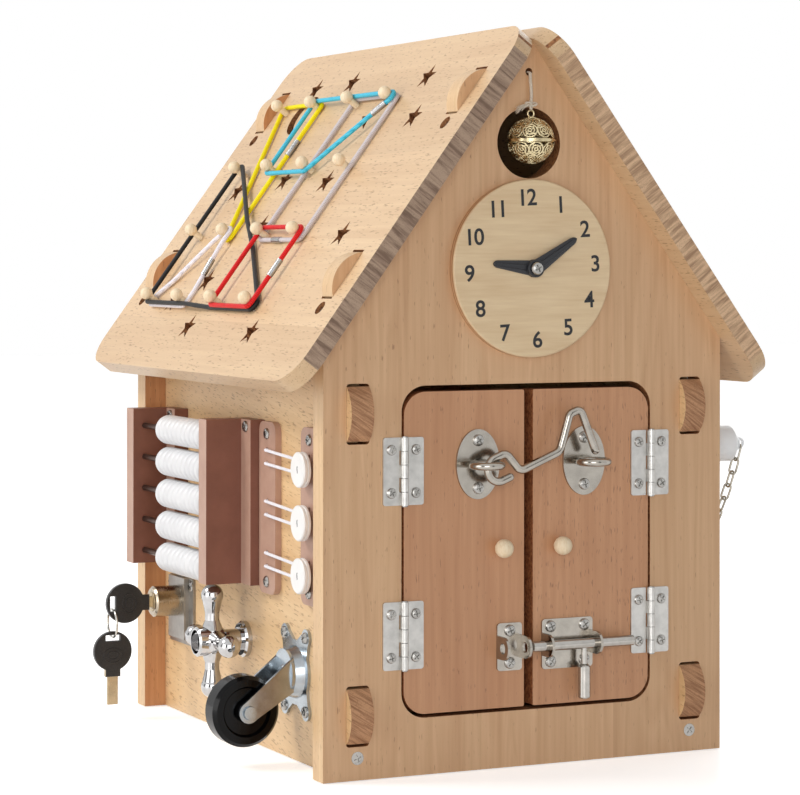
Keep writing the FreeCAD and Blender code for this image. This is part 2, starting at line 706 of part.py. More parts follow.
# Pegs: turned balls on stems pressed into the roof
def peg(down, y):
    """One peg, turned in one piece: a ball on a thin stem."""
    r, ball, middle = PEG_STEM_RADIUS, PEG_BALL_RADIUS, PEG_HEIGHT
    neck = middle - math.sqrt(ball ** 2 - r ** 2)
    points = [Vector(0, 0, -PEG_DEPTH), Vector(r, 0, -PEG_DEPTH), Vector(r, 0, neck), Vector(ball, 0,
        middle),
              Vector(0, 0, middle + ball)]
    edges = [Part.LineSegment(points[0], points[1]).toShape(), Part.LineSegment(points[1],
        points[2]).toShape(),
             Part.Arc(points[2], points[3], points[4]).toShape(), Part.LineSegment(points[4],
                 points[0]).toShape()]
    solid = Part.Face(Part.Wire(edges)).revolve(Vector(0, 0, 0), Z, 360)
    solid.Placement = FreeCAD.Placement(on_roof(-1, down, ROOF_BOARD, y), FreeCAD.Rotation(Z,
        roof_normal(-1)))
    return solid


save("roof_pegs", [peg(down, y) for row in peg_places for down, y in row])


# Elastic bands: closed loops stretched round the pegs in two levels, so that they cross
# without meeting. A route lists pegs as (row, column, level) and, between them, bends
# of the run to the next peg as (share of the run, level).
def band_route(route):
    """Corner points and radii of a band that goes round the outside of its pegs."""
    pegs = [i for i, item in enumerate(route) if len(item) == 3]
    centres = [peg_places[route[i][0]][route[i][1]] for i in pegs]
    reach = PEG_STEM_RADIUS + BAND_RADIUS + BAND_GAP
    count = len(centres)
    middle = [sum(c[k] for c in centres) / count for k in (0, 1)]
    lines = []
    for i in range(count):
        (d0, y0), (d1, y1) = centres[i], centres[(i + 1) % count]
        length = math.hypot(d1 - d0, y1 - y0)
        normal = ((y1 - y0) / length, (d0 - d1) / length)
        if normal[0] * (middle[0] - d0) + normal[1] * (middle[1] - y0) > 0:
            normal = (-normal[0], -normal[1])
        lines.append((normal, normal[0] * d0 + normal[1] * y0 + reach))
    corners = []
    for i in range(count):
        (a, b), e = lines[i - 1]
        (c, d), f = lines[i]
        det = a * d - b * c
        corners.append(((e * d - b * f) / det, (a * f - e * c) / det))
    points, radii, turn = [], [], -1
    for item in route:
        if len(item) == 3:
            turn += 1
            down, y = corners[turn]
            radii.append(reach)
        else:
            share = item[0]
            (d0, y0), (d1, y1) = corners[turn], corners[(turn + 1) % count]
            down, y = d0 + share * (d1 - d0), y0 + share * (y1 - y0)
            radii.append(BAND_BEND_RADIUS)
        points.append(on_roof(-1, down, ROOF_BOARD + BAND_LEVELS[item[-1]], y))
    return points, radii


BANDS = (
    ([(0, 0, 0), (0, 1, 0), (2, 1, 0)], (1, 0.30)),
    ([(0, 1, 1), (0, 3, 1), (1, 2, 1), (1, 1, 1)], (1, 0.21)),
    ([(0, 2, 0), (0, 3, 0), (2, 3, 0), (2, 2, 0)], (2, 0.55)),
    ([(2, 2, 1), (2, 3, 1), (3, 3, 1), (3, 2, 1)], (1, 0.52)),
    ([(1, 0, 1), (0.42, 1), (0.60, 0), (3, 3, 0), (0.42, 0), (0.62, 1), (3, 0, 1)], None),
    ([(3, 0, 0), (3, 1, 0), (0.18, 0), (0.74, 1), (2, 1, 1), (0.22, 1), (0.70, 0)], (2, 0.50)))
bands, crimps = [], []
for route, crimp in BANDS:
    points, radii = band_route(route)
    band = tube(rounded_path(points, radii, closed=True), BAND_RADIUS)
    bands.append(band)
    if crimp:
        run, share = crimp
        start, end = points[run], points[(run + 1) % len(points)]
        along = (end - start).normalize()
        foot = start + (end - start) * share - along * (CRIMP_LENGTH / 2)
        sleeve = Part.makeCylinder(CRIMP_RADIUS, CRIMP_LENGTH, foot, along)
        hole = Part.makeCylinder(BAND_RADIUS + 0.03, CRIMP_LENGTH + 2, foot - along, along)
        crimps.append(sleeve.cut(hole).Solids[0])
save("elastic_bands", bands)
save("band_crimps", crimps)

# Frame and roof screws
panel_screws = frame_screws_at(FRONT, Y * -1) + frame_screws_at(BACK, Y)
panel_screws += [screw(place, roof_normal(side), ROOF_SCREW, 30.0) for side, place in roof_screw_places]
save("panel_screws", panel_screws)


# Butt hinges: the gable leaf has three knuckles, the door leaf two, and a pin joins them
def knuckles(base, outward):
    """Heights of one leaf's knuckles, from a hinge's lower end."""
    step = HINGE_LENGTH / 5
    rows = (0, 2, 4) if outward > 0 else (1, 3)
    ends = []
    for i in rows:
        low = base + i * step + (KNUCKLE_END_GAP / 2 if i > 0 else 0)
        high = base + (i + 1) * step - (KNUCKLE_END_GAP / 2 if i < 4 else 0)
        ends.append((low, high))
    return ends


def leaf(side, outward, middle):
    """One hinge leaf; outward 1 lies on the gable and -1 on the door."""
    base = middle - HINGE_LENGTH / 2
    axis_x = side * HINGE_X
    near = axis_x + side * outward * (KNUCKLE_RADIUS + 0.4)
    far = axis_x + side * outward * HINGE_OPEN_WIDTH / 2
    plate = block(min(near, far), max(near, far), FRONT - HINGE_SHEET, FRONT, base, base + HINGE_LENGTH)
    outer = [e for e in edges_along(plate, Y) if abs(e.Vertexes[0].X - far) < 0.01]
    plate = plate.makeFillet(HINGE_CORNER, outer)
    parts = []
    for low, high in knuckles(base, outward):
        parts.append(Part.makeCylinder(KNUCKLE_RADIUS, high - low, Vector(axis_x, HINGE_Y, low), Z))
        parts.append(block(min(near, axis_x), max(near, axis_x), FRONT - HINGE_SHEET, FRONT, low, high))
    bore = Part.makeCylinder(HINGE_PIN_RADIUS + PIN_CLEARANCE, HINGE_LENGTH + 2, Vector(axis_x, HINGE_Y,
        base - 1), Z)
    return one(plate.fuse(parts).cut([bore] + screw_holes(hinge_screw_places(side, outward), Y * -1,
                                                          HINGE_SCREW)))


def hinge_pin(side, middle):
    """Pin with a small head at each end."""
    low, high = middle - HINGE_LENGTH / 2 - 0.02, middle + HINGE_LENGTH / 2 + 0.02
    head, thick = KNUCKLE_RADIUS - 0.5, 0.6
    profile = [(0, low - thick), (head, low - thick), (head, low), (HINGE_PIN_RADIUS, low),
               (HINGE_PIN_RADIUS, high),
               (head, high), (head, high + thick), (0, high + thick)]
    return turned(profile, Vector(side * HINGE_X, HINGE_Y, 0), Z)


save("hinge_frame_leaves", [leaf(side, 1, z) for side in (-1, 1) for z in HINGE_HEIGHTS])
save("hinge_pins", [hinge_pin(side, z) for side in (-1, 1) for z in HINGE_HEIGHTS])
save("hinge_frame_screws", screws(frame_hinge_places, Y * -1, HINGE_SCREW, (15, 60, 35, 80)))

# Doors and what is fixed to them
EYE_Z = DOOR_TOP - EYE_BELOW_DOOR_TOP
BOLT_Z = DOOR_BOTTOM + BOLT_RISE
KNOB_Z = (EYE_Z + BOLT_Z) / 2 + KNOB_ABOVE_MIDDLE
BOLT_Y = FRONT - BOLT_STAND_OFF
eye_x = {-1: -EYE_FROM_MIDDLE[0], 1: EYE_FROM_MIDDLE[1]}
plate_screw_y = FRONT - EYE_PLATE_SHEET
eye_screw_places = {side: [Vector(eye_x[side], plate_screw_y, EYE_Z + up) for up in (-EYE_SCREW_OFFSET,
    EYE_SCREW_OFFSET)]
                    for side in (-1, 1)}
keeper_x = (-KEEPER_START - KEEPER_LENGTH, -KEEPER_START)
base_x = (BOLT_BASE_START, BOLT_BASE_START + BOLT_BASE_LENGTH)
keeper_middle = -KEEPER_START - KEEPER_LENGTH / 2
bolt_screw_places = {
    -1: [Vector(keeper_middle, FRONT - BOLT_SHEET, BOLT_Z + up) for up in (-KEEPER_SCREW_UP,
        KEEPER_SCREW_UP)],
    1: [Vector(x, FRONT - BOLT_SHEET, BOLT_Z + up) for x in (base_x[0] + BASE_SCREW_IN,
                                                             base_x[1] - BASE_SCREW_IN)
        for up in (-BASE_SCREW_UP, BASE_SCREW_UP)]}


def door(side):
    """One door board with its outer corners rounded, drilled for its fittings."""
    inner, outer = side * DOOR_INNER, side * DOOR_OUTER
    points = [Vector(inner, FRONT, DOOR_BOTTOM), Vector(outer, FRONT, DOOR_BOTTOM), Vector(outer, FRONT,
        DOOR_TOP),
              Vector(inner, FRONT, DOOR_TOP)]
    path = rounded_path(points, [DOOR_EASE, DOOR_CORNER_RADIUS, DOOR_CORNER_RADIUS, DOOR_EASE], closed=True)
    board = Part.Face(path).extrude(Y * DOOR_BOARD)
    tools = screw_holes(hinge_screw_places(side, -1), Y * -1, HINGE_SCREW)
    tools += screw_holes(eye_screw_places[side] + bolt_screw_places[side], Y * -1, PLATE_SCREW)
    tools.append(bar(Vector(side * KNOB_FROM_MIDDLE, FRONT - 1, KNOB_Z),
                     Vector(side * KNOB_FROM_MIDDLE, FRONT + KNOB_STEM_DEPTH + 0.05, KNOB_Z),
                     KNOB_STEM_RADIUS + HOLE_CLEARANCE))
    return one(board.cut(tools))


def knob(side):
    """Ball knob on a stem."""
    centre = Vector(side * KNOB_FROM_MIDDLE, FRONT - KNOB_STAND_OFF, KNOB_Z)
    stem = bar(centre, Vector(centre.x, FRONT + KNOB_STEM_DEPTH, KNOB_Z), KNOB_STEM_RADIUS)
    return one(Part.makeSphere(KNOB_RADIUS, centre).fuse(stem))


def eye(side):
    """Oval plate with a level ring standing off it on a short shank."""
    oval = Part.Face(Part.Wire(Part.Ellipse(Vector(0, 0, 0), EYE_PLATE_HEIGHT / 2,
                                            EYE_PLATE_WIDTH / 2).toShape()))
    plate = oval.extrude(Z * EYE_PLATE_SHEET)
    turn = FreeCAD.Rotation(Vector(0, 0, 1), Vector(-1, 0, 0), Vector(0, -1, 0), "ZXY")
    plate.Placement = FreeCAD.Placement(Vector(eye_x[side], FRONT, EYE_Z), turn)
    centre = Vector(eye_x[side], FRONT - EYE_RING_OUT, EYE_Z)
    back = Vector(eye_x[side], FRONT - EYE_PLATE_SHEET / 2, EYE_Z)
    shank = bar(back, centre + Y * EYE_RING_RADIUS, EYE_WIRE_RADIUS)
    collar = bar(back, back - Y * (EYE_PLATE_SHEET / 2 + 0.8), EYE_WIRE_RADIUS + 1.2)
    solid = plate.fuse([shank, collar, ring(centre, Z, EYE_RING_RADIUS, EYE_WIRE_RADIUS)])
    return one(solid.cut(screw_holes(eye_screw_places[side], Y * -1, PLATE_SCREW)))


def ear(x0, x1):
    """Round-ended ear that stands off a door for the bolt's rod."""
    top, bottom = BOLT_Z + BOLT_EAR_RADIUS, BOLT_Z - BOLT_EAR_RADIUS
    edges = [Part.LineSegment(Vector(x0, FRONT, bottom), Vector(x0, BOLT_Y, bottom)).toShape(),
             Part.Arc(Vector(x0, BOLT_Y, bottom), Vector(x0, BOLT_Y - BOLT_EAR_RADIUS, BOLT_Z),
                      Vector(x0, BOLT_Y, top)).toShape(),
             Part.LineSegment(Vector(x0, BOLT_Y, top), Vector(x0, FRONT, top)).toShape(),
             Part.LineSegment(Vector(x0, FRONT, top), Vector(x0, FRONT, bottom)).toShape()]
    return Part.Face(Part.Wire(edges)).extrude(X * (x1 - x0))


def bolt_plate(x0, x1, height, side):
    """Bolt base or keeper: a plate with an ear turned up at each end."""
    plate = rounded_block((x0, x1), (FRONT - BOLT_SHEET, FRONT), (BOLT_Z - height / 2,
                                                                  BOLT_Z + height / 2), Y, 2.0)
    solid = plate.fuse([ear(x0, x0 + BOLT_SHEET), ear(x1 - BOLT_SHEET, x1)])
    bore = bar(Vector(x0 - 1, BOLT_Y, BOLT_Z), Vector(x1 + 1, BOLT_Y, BOLT_Z),
               BOLT_ROD_RADIUS + BOLT_BORE_CLEARANCE)
    return one(solid.cut([bore] + screw_holes(bolt_screw_places[side], Y * -1, PLATE_SCREW)))


for side, name in ((-1, "left"), (1, "right")):
    save("%s_door_panel" % name, door(side))
    save("%s_knob" % name, knob(side))
    save("%s_door_leaves" % name, [leaf(side, -1, z) for z in HINGE_HEIGHTS])
    save("%s_eye" % name, eye(side))
    fixings = screws(hinge_screw_places(side, -1), Y * -1, HINGE_SCREW, (40, 10, 65, 25))
    fixings += screws(eye_screw_places[side] + bolt_screw_places[side], Y * -1, PLATE_SCREW, (10, 35, 55,
        20))
    save("%s_door_screws" % name, fixings)
save("bolt_keeper", bolt_plate(keeper_x[0], keeper_x[1], KEEPER_HEIGHT, -1))
save("bolt_base", bolt_plate(base_x[0], base_x[1], BOLT_BASE_HEIGHT, 1))

# The bolt's rod, drawn clear of the keeper at rest
rod_tip = keeper_x[0] - BOLT_TIP_PAST_KEEPER + BOLT_DRAWN
handle_x = base_x[0] + BOLT_HANDLE_FROM_EAR + BOLT_DRAWN
dome = BOLT_ROD_RADIUS * 0.35
rod = turned([(0, 0), (BOLT_ROD_RADIUS - 0.5, 0), (BOLT_ROD_RADIUS, 0.5), (BOLT_ROD_RADIUS,
    BOLT_ROD_LENGTH - dome),
              (BOLT_ROD_RADIUS * 0.7, BOLT_ROD_LENGTH - 0.2 * dome), (0, BOLT_ROD_LENGTH)],
             Vector(rod_tip, BOLT_Y, BOLT_Z), X)
neck_end = -BOLT_NECK_LENGTH
grip_end = neck_end - BOLT_GRIP_LENGTH
handle = turned([(0, 0), (BOLT_NECK_RADIUS, 0), (BOLT_NECK_RADIUS, neck_end + 1.0),
                 (BOLT_GRIP_RADIUS - 0.6, neck_end),
                 (BOLT_GRIP_RADIUS, neck_end - 0.8), (BOLT_GRIP_RADIUS, grip_end + 0.6),
                 (BOLT_GRIP_RADIUS - 0.6, grip_end), (0, grip_end)], Vector(handle_x, BOLT_Y, BOLT_Z), Z)
save("bolt_rod", one(rod.fuse(handle)))

# Cabin hook: an open loop in the left ring, a dipped shank, and a crest with the tip that
# drops through the right ring; at rest it is lifted clear
hook_pivot = Vector(eye_x[-1] + EYE_RING_RADIUS, FRONT - EYE_RING_OUT, EYE_Z)
reach = eye_x[1] - hook_pivot.x - HOOK_TIP_SHORT
left_of = -HOOK_LOOP_SHIFT - HOOK_LOOP_RADIUS
over = HOOK_WIRE_RADIUS + EYE_WIRE_RADIUS + HOOK_SEAT
under = over - 2 * HOOK_LOOP_RADIUS
shape = [(left_of + 1.7 * HOOK_LOOP_RADIUS, under, 0), (left_of, under, HOOK_LOOP_RADIUS - 0.1),
         (left_of, over, HOOK_LOOP_RADIUS - 0.1), (left_of + 2.1 * HOOK_LOOP_RADIUS, over, 4.5),
         (left_of + 2.75 * HOOK_LOOP_RADIUS, -HOOK_DIP - 0.2, 4.5), (reach - 21.7, -HOOK_DIP, 6.0),
         (reach - 7.7, HOOK_CREST, 4.0), (reach, HOOK_CREST, 3.4), (reach, -HOOK_TIP_DROP, 0)]
points = [hook_pivot + Vector(x, 0, z) for x, z, r in shape]
hook = tube(rounded_path(points, [r for x, z, r in shape]), HOOK_WIRE_RADIUS)
hook = hook.fuse([Part.makeSphere(HOOK_WIRE_RADIUS, points[0]), Part.makeSphere(HOOK_WIRE_RADIUS,
    points[-1])])
hook = one(hook)
hook.rotate(hook_pivot, Y * -1, HOOK_LIFT)
save("cabin_hook", hook)


# Clock: a dial board, two moulded hands and the screw that holds them
def hand(length, angle, back):
    """Hand that tapers from a round hub to a narrow round tip."""
    hub, tip = HAND_HUB_RADIUS * 0.86, HAND_TIP_RADIUS
    points = [Vector(0, 0, -hub), Vector(length - tip, 0, -tip), Vector(length, 0, 0),
              Vector(length - tip, 0, tip),
              Vector(0, 0, hub)]
    edges = [Part.LineSegment(points[0], points[1]).toShape(), Part.Arc(points[1], points[2],
        points[3]).toShape(),
             Part.LineSegment(points[3], points[4]).toShape(), Part.LineSegment(points[4],
                 points[0]).toShape()]
    blade = Part.Face(Part.Wire(edges)).extrude(Y * -HAND_THICKNESS)
    hub = Part.makeCylinder(HAND_HUB_RADIUS, HAND_THICKNESS, Vector(0, 0, 0), Y * -1)
    bore = Part.makeCylinder(CLOCK_SCREW[2] + HAND_BORE_CLEARANCE, HAND_THICKNESS + 2, Vector(0, 1, 0),
                             Y * -1)
    solid = one(blade.fuse(hub).cut(bore))
    solid.rotate(Vector(0, 0, 0), Y * -1, angle)
    return solid.translated(CLOCK - Y * back)


dial = Part.makeCylinder(CLOCK_RADIUS, CLOCK_THICKNESS, CLOCK, Y * -1)
dial = dial.makeFillet(CLOCK_EASE,
                       [e for e in dial.Edges if abs(e.BoundBox.YMax - (FRONT - CLOCK_THICKNESS)) < 0.01])
save("clock_dial", one(dial.cut(screw_holes([clock_screw_place], Y * -1, CLOCK_SCREW))))
save("hour_hand", hand(HOUR_HAND_LENGTH, HOUR_HAND_ANGLE, CLOCK_THICKNESS + HAND_GAP))
save("minute_hand", hand(MINUTE_HAND_LENGTH, MINUTE_HAND_ANGLE,
                         CLOCK_THICKNESS + HAND_THICKNESS + 2 * HAND_GAP))
save("clock_screw", screw(clock_screw_place, Y * -1, CLOCK_SCREW, 25.0))

# Hollow ball with a seam and a small loop, hanging on a string in front of the round hole
string_y = FRONT - STRING_RADIUS - STRING_GAP
ball_centre = Vector(0, string_y, CUCKOO.z + BALL_ABOVE_CUCKOO)
shell = Part.makeSphere(BALL_RADIUS, ball_centre).cut(Part.makeSphere(BALL_RADIUS - BALL_WALL, ball_centre))
seam_out, seam_high = BALL_SEAM
seam = turned([(BALL_RADIUS - BALL_WALL * 0.6, -seam_high / 2), (BALL_RADIUS + seam_out, -seam_high / 2),
               (BALL_RADIUS + seam_out, seam_high / 2), (BALL_RADIUS - BALL_WALL * 0.6,
                                                         seam_high / 2)], ball_centre, Z)
loop_centre = ball_centre + Z * (BALL_RADIUS + BALL_LOOP_RADIUS - BALL_LOOP_WIRE / 2)
save("bell_ball", one(shell.fuse([seam, ring(loop_centre, Y, BALL_LOOP_RADIUS, BALL_LOOP_WIRE)])))
knot = loop_centre + Z * (BALL_LOOP_RADIUS + BALL_LOOP_WIRE + STRING_KNOT_RADIUS * 0.62)
string_top = Vector(0, string_y, STRING_HOLE.z)
string = tube(rounded_path([knot, string_top, string_top + Y * (STRING_TAIL + STRING_RADIUS + STRING_GAP)],
                           [0, STRING_RADIUS + 0.2, 0]), STRING_RADIUS)
save("bell_string", one(string.fuse(Part.makeSphere(STRING_KNOT_RADIUS * 0.6, knot))))


# Bead frame: two brackets, five rods and ten beads on each rod
def bracket(y):
    """Bracket with a foot against the wall towards the front."""
    arm = block(LEFT - BRACKET_REACH, LEFT, y, y + BRACKET_THICKNESS, BRACKET_BOTTOM, bracket_top)
    foot = block(LEFT - BRACKET_FOOT_SHEET, LEFT, y - BRACKET_FOOT, y, BRACKET_BOTTOM, bracket_top)
    return one(arm.fuse(foot).cut(bead_sockets + screw_holes(bracket_screw_places, OUT, WALL_SCREW)))


row_heights = [bottom_row + i * row_pitch for i in reversed(range(BEAD_ROWS))]
rod_x = LEFT - ROD_OUT
rod_ends = (front_bracket_y + BRACKET_THICKNESS - ROD_SOCKET, rear_bracket_y + ROD_SOCKET)
bead_sockets = [bar(Vector(rod_x, rod_ends[0] - 0.05, z), Vector(rod_x, rod_ends[1] + 0.05, z),
                    ROD_RADIUS + HOLE_CLEARANCE) for z in row_heights]
save("abacus_brackets", [bracket(front_bracket_y), bracket(rear_bracket_y)])
save("abacus_rods", [bar(Vector(rod_x, rod_ends[0], z), Vector(rod_x, rod_ends[1], z), ROD_RADIUS)
                     for z in row_heights])
first_bead = front_bracket_y + BRACKET_THICKNESS + BEAD_END_GAP
bead_pitch = (rear_bracket_y - BEAD_END_GAP - BEAD_TRAVEL - first_bead) / BEADS_PER_ROW


def bead(y, z):
    """One turned bead with rounded rims, bored for its rod."""
    thick = bead_pitch - BEAD_GAP
    bore = ROD_RADIUS + BEAD_BORE_CLEARANCE
    solid = Part.makeCylinder(BEAD_RADIUS, thick, Vector(rod_x, y, z), Y)
    solid = solid.makeFillet(thick * BEAD_EASE, [e for e in solid.Edges if e.BoundBox.YLength < 0.01])
    return one(solid.cut(bar(Vector(rod_x, y - 1, z), Vector(rod_x, y + thick + 1, z), bore)))


for i, z in enumerate(row_heights):
    save("bead_row_%d" % (i + 1), [bead(first_bead + k * bead_pitch, z) for k in range(BEADS_PER_ROW)])

# Button strips: the front one carries three buttons, the rear one three elastic loops
strips = []
wide, high, thick = STRIP_SIZE
for y in strip_middles:
    strip = rounded_block((LEFT - thick, LEFT), (y - wide / 2, y + wide / 2), (STRIP_BOTTOM,
        STRIP_BOTTOM + high), X,
                          STRIP_CORNER)
    holes = [bar(Vector(LEFT - thick - 1, y, STRIP_BOTTOM + up), Vector(LEFT - thick + STRIP_HOLE_DEPTH,
        y, STRIP_BOTTOM + up),
                 STRIP_HOLE_RADIUS) for up in STRIP_HOLE_HEIGHTS]
    strips.append(one(strip.cut(holes + screw_holes(strip_screw_places, OUT, PLATE_SCREW))))
save("button_strips", strips)


def button(z):
    """Round button on a neck; a groove shows its two layers."""
    y, base = strip_middles[0], STRIP_SIZE[2]
    under, over = base + BUTTON_NECK, base + BUTTON_NECK + BUTTON_THICKNESS
    middle, half = (under + over) / 2, BUTTON_GROOVE / 2
    r, small = BUTTON_RADIUS, BUTTON_EASE
    profile = [(0, base), (BUTTON_NECK_RADIUS, base), (BUTTON_NECK_RADIUS, under), (r - small, under), (r,
        under + small),
               (r, middle - half), (r - half, middle), (r, middle + half), (r, over - small), (r - small,
                   over),
               (0, over)]
    return turned(profile, Vector(LEFT, y, z), OUT)


button_places = [STRIP_BOTTOM + up for up in BUTTON_HEIGHTS]
save("buttons", [button(z) for z in button_places])


def elastic_loop(z, low, high):
    """Elastic loop out of two holes of the rear strip and round a button's neck."""
    y0, y1 = strip_middles[1], strip_middles[0]
    x = LEFT - STRIP_SIZE[2] - BUTTON_NECK / 2
    inside = LEFT - STRIP_SIZE[2] + STRIP_HOLE_DEPTH - 0.3
    round_neck = BUTTON_NECK_RADIUS + LOOP_RADIUS + LOOP_GAP
    points = [Vector(inside, y0, low), Vector(x, y0, low), Vector(x, y1 - round_neck, z - round_neck),
              Vector(x, y1 - round_neck, z + round_neck), Vector(x, y0, high), Vector(inside, y0, high)]
    return tube(rounded_path(points, [0, 1.5, round_neck - 0.4, round_neck - 0.4, 1.5, 0]), LOOP_RADIUS)


hole_heights = [STRIP_BOTTOM + up for up in STRIP_HOLE_HEIGHTS]
save("button_loops", [elastic_loop(button_places[i], hole_heights[2 * i],
                                   hole_heights[2 * i + 1]) for i in range(3)])

# Drawer lock: a plate and box on the wall, a cylinder with a turning plug, and a bolt
wide, high, thick = LOCK_PLATE_SIZE
lock_z = LOCK_MIDDLE_HEIGHT
case = rounded_block((LEFT - thick, LEFT), (LOCK_Y - wide / 2, LOCK_Y + wide / 2), (lock_z - high / 2,
    lock_z + high / 2),
                     X, 1.5)
wide, high, thick = LOCK_BOX_SIZE
box_front = LEFT - thick
case_top = lock_z + LOCK_PLATE_SIZE[1] / 2
case = case.fuse(block(box_front, LEFT, LOCK_Y - wide / 2, LOCK_Y + wide / 2, lock_z - high / 2, case_top))
cylinder_end = LEFT - LOCK_REACH
case = case.fuse(turned([(0, 0), (LOCK_CYLINDER_RADIUS, 0), (LOCK_CYLINDER_RADIUS, LOCK_REACH - 1.2),
                         (LOCK_CYLINDER_RADIUS - 1.2, LOCK_REACH), (0, LOCK_REACH)], LOCK, OUT))
plug_back = box_front - 0.4
plug_bore = bar(Vector(plug_back + 0.1, LOCK_Y, LOCK.z), Vector(cylinder_end - 1, LOCK_Y, LOCK.z),
                LOCK_PLUG_RADIUS + LOCK_PLUG_CLEARANCE)
wide, high, thick = LOCK_BOLT_SIZE
bolt_x = (LEFT - LOCK_BOLT_CLEARANCE - thick, LEFT - LOCK_BOLT_CLEARANCE)
bolt_z = (case_top + LOCK_BOLT_SHOWS - high, case_top + LOCK_BOLT_SHOWS)
gap = LOCK_BOLT_CLEARANCE
channel = block(bolt_x[0] - gap, LEFT + 1, LOCK_Y - wide / 2 - gap, LOCK_Y + wide / 2 + gap,
                bolt_z[0] - gap, case_top + 1)
case = case.cut([plug_bore, channel] + screw_holes(lock_screw_places, OUT, PLATE_SCREW))
save("lock_case", one(case))
bolt = block(bolt_x[0], bolt_x[1], LOCK_Y - wide / 2, LOCK_Y + wide / 2, bolt_z[0], bolt_z[1])
save("lock_bolt", bolt)


def key(head, slot_way, tip_way):
    """Flat key in the XZ plane: a round head, a long slot towards slot_way and a blade."""
    half = KEY_THICKNESS / 2
    disc = Part.makeCylinder(KEY_HEAD_RADIUS, KEY_THICKNESS, head - Y * half, Y)
    across = Vector(abs(slot_way.z), 0, abs(slot_way.x))
    along = Vector(abs(slot_way.x), 0, abs(slot_way.z))
    spread = along * (KEY_SLOT[0] / 2) + across * (KEY_SLOT[1] / 2)
    centre = head + slot_way * KEY_SLOT_OFFSET
    slot = block(centre.x - spread.x, centre.x + spread.x, head.y - half - 1, head.y + half + 1,
                 centre.z - spread.z, centre.z + spread.z)
    side_way = Vector(abs(tip_way.z), 0, abs(tip_way.x))
    parts = []
    for wide, thick, start, end in ((KEY_BLADE[0] + 3.0, KEY_THICKNESS, KEY_HEAD_RADIUS - 3.0,
                                     KEY_HEAD_RADIUS + 3.6),
                                    (KEY_BLADE[0], KEY_BLADE[1], KEY_HEAD_RADIUS, KEY_LENGTH)):
        low = head + tip_way * start - side_way * (wide / 2)
        high = head + tip_way * end + side_way * (wide / 2)
        parts.append(block(min(low.x, high.x), max(low.x, high.x), head.y - thick / 2, head.y + thick / 2,
                           min(low.z, high.z), max(low.z, high.z)))
    return one(disc.fuse(parts).cut(slot))


# One key stays in the plug; the other hangs from it on a ring
key_head = Vector(cylinder_end - KEY_HEAD_OUT, LOCK_Y, LOCK.z)
lock_key = key(key_head, OUT, X)
plug = bar(Vector(plug_back, LOCK_Y, LOCK.z), Vector(cylinder_end - 0.4, LOCK_Y, LOCK.z), LOCK_PLUG_RADIUS)
blade_room = block(plug_back - 30, plug_back + 1, LOCK_Y - KEY_BLADE[1] / 2 - 0.05,
                   LOCK_Y + KEY_BLADE[1] / 2 + 0.05,
                   LOCK.z - KEY_BLADE[0] / 2 - 0.05, LOCK.z + KEY_BLADE[0] / 2 + 0.05)
save("lock_key", [lock_key, one(plug.cut(blade_room))])
dip = RING_RADIUS - math.sqrt(RING_RADIUS ** 2 - (KEY_THICKNESS / 2) ** 2)
slot_x = key_head.x - KEY_SLOT_OFFSET
ring_top = key_head.z - KEY_SLOT[1] / 2 + RING_WIRE + dip + RING_SEAT
ring_centre = Vector(slot_x, LOCK_Y, ring_top - RING_RADIUS)
save("key_ring", ring(ring_centre, X, RING_RADIUS, RING_WIRE))
spare_slot_top = ring_centre.z - RING_RADIUS + RING_WIRE + dip + RING_SEAT
spare_head = Vector(slot_x, LOCK_Y, spare_slot_top - KEY_SLOT[0] / 2 - KEY_SLOT_OFFSET)
save("spare_key", key(spare_head, Z, Z * -1))
print("key ring pivot %.3f %.3f, spare key pivot %.3f" % (slot_x, ring_top, ring_centre.z - RING_RADIUS))

# Tap: a flanged stem through the wall, and a handle with four bulbed arms
stem_end = TAP_ARM_OUT + TAP_HUB_FRONT - TAP_CUP[1]
stem = turned([(0, -BOARD * 0.7), (TAP_STEM_RADIUS, -BOARD * 0.7), (TAP_STEM_RADIUS, 0), (TAP_FLANGE[0], 0),
               (TAP_FLANGE[0], TAP_FLANGE[1] - 1.2), (TAP_FLANGE[0] - 1.2, TAP_FLANGE[1]),
               (TAP_COLLAR_RADIUS, TAP_FLANGE[1]), (TAP_COLLAR_RADIUS, TAP_ARM_OUT - TAP_HUB_BACK - 0.3),
               (TAP_STEM_RADIUS, TAP_ARM_OUT - TAP_HUB_BACK - 0.3), (TAP_STEM_RADIUS, stem_end + 0.3),
               (TAP_WASHER[0], stem_end + 0.3), (TAP_WASHER[0], stem_end + 0.3 + TAP_WASHER[1]),
               (0, stem_end + 0.3 + TAP_WASHER[1])], TAP, OUT)
save("tap_stem", stem)
hub_back, hub_front = TAP_ARM_OUT - TAP_HUB_BACK, TAP_ARM_OUT + TAP_HUB_FRONT
hub = turned([(0, hub_back), (TAP_HUB_RADIUS - 1.5, hub_back), (TAP_HUB_RADIUS, hub_back + 2.0),
              (TAP_HUB_RADIUS, hub_front - 1.0), (TAP_HUB_RADIUS - 1.0, hub_front), (0,
                  hub_front)], TAP, OUT)
bulb_out = TAP_ARM_TIP - TAP_BULB_RADIUS
parts = []
for way in (Y, Y * -1, Z, Z * -1):
    middle = TAP + OUT * TAP_ARM_OUT
    parts.append(turned([(0, 0), (TAP_BULB_RADIUS, 0), (TAP_BULB_RADIUS, bulb_out * 0.25),
                         (TAP_NECK_RADIUS, bulb_out * 0.46), (TAP_NECK_RADIUS, bulb_out * 0.62),
                         (TAP_BULB_RADIUS - 0.6, bulb_out * 0.92), (0, bulb_out)], middle, way))
    parts.append(Part.makeSphere(TAP_BULB_RADIUS, middle + way * bulb_out))
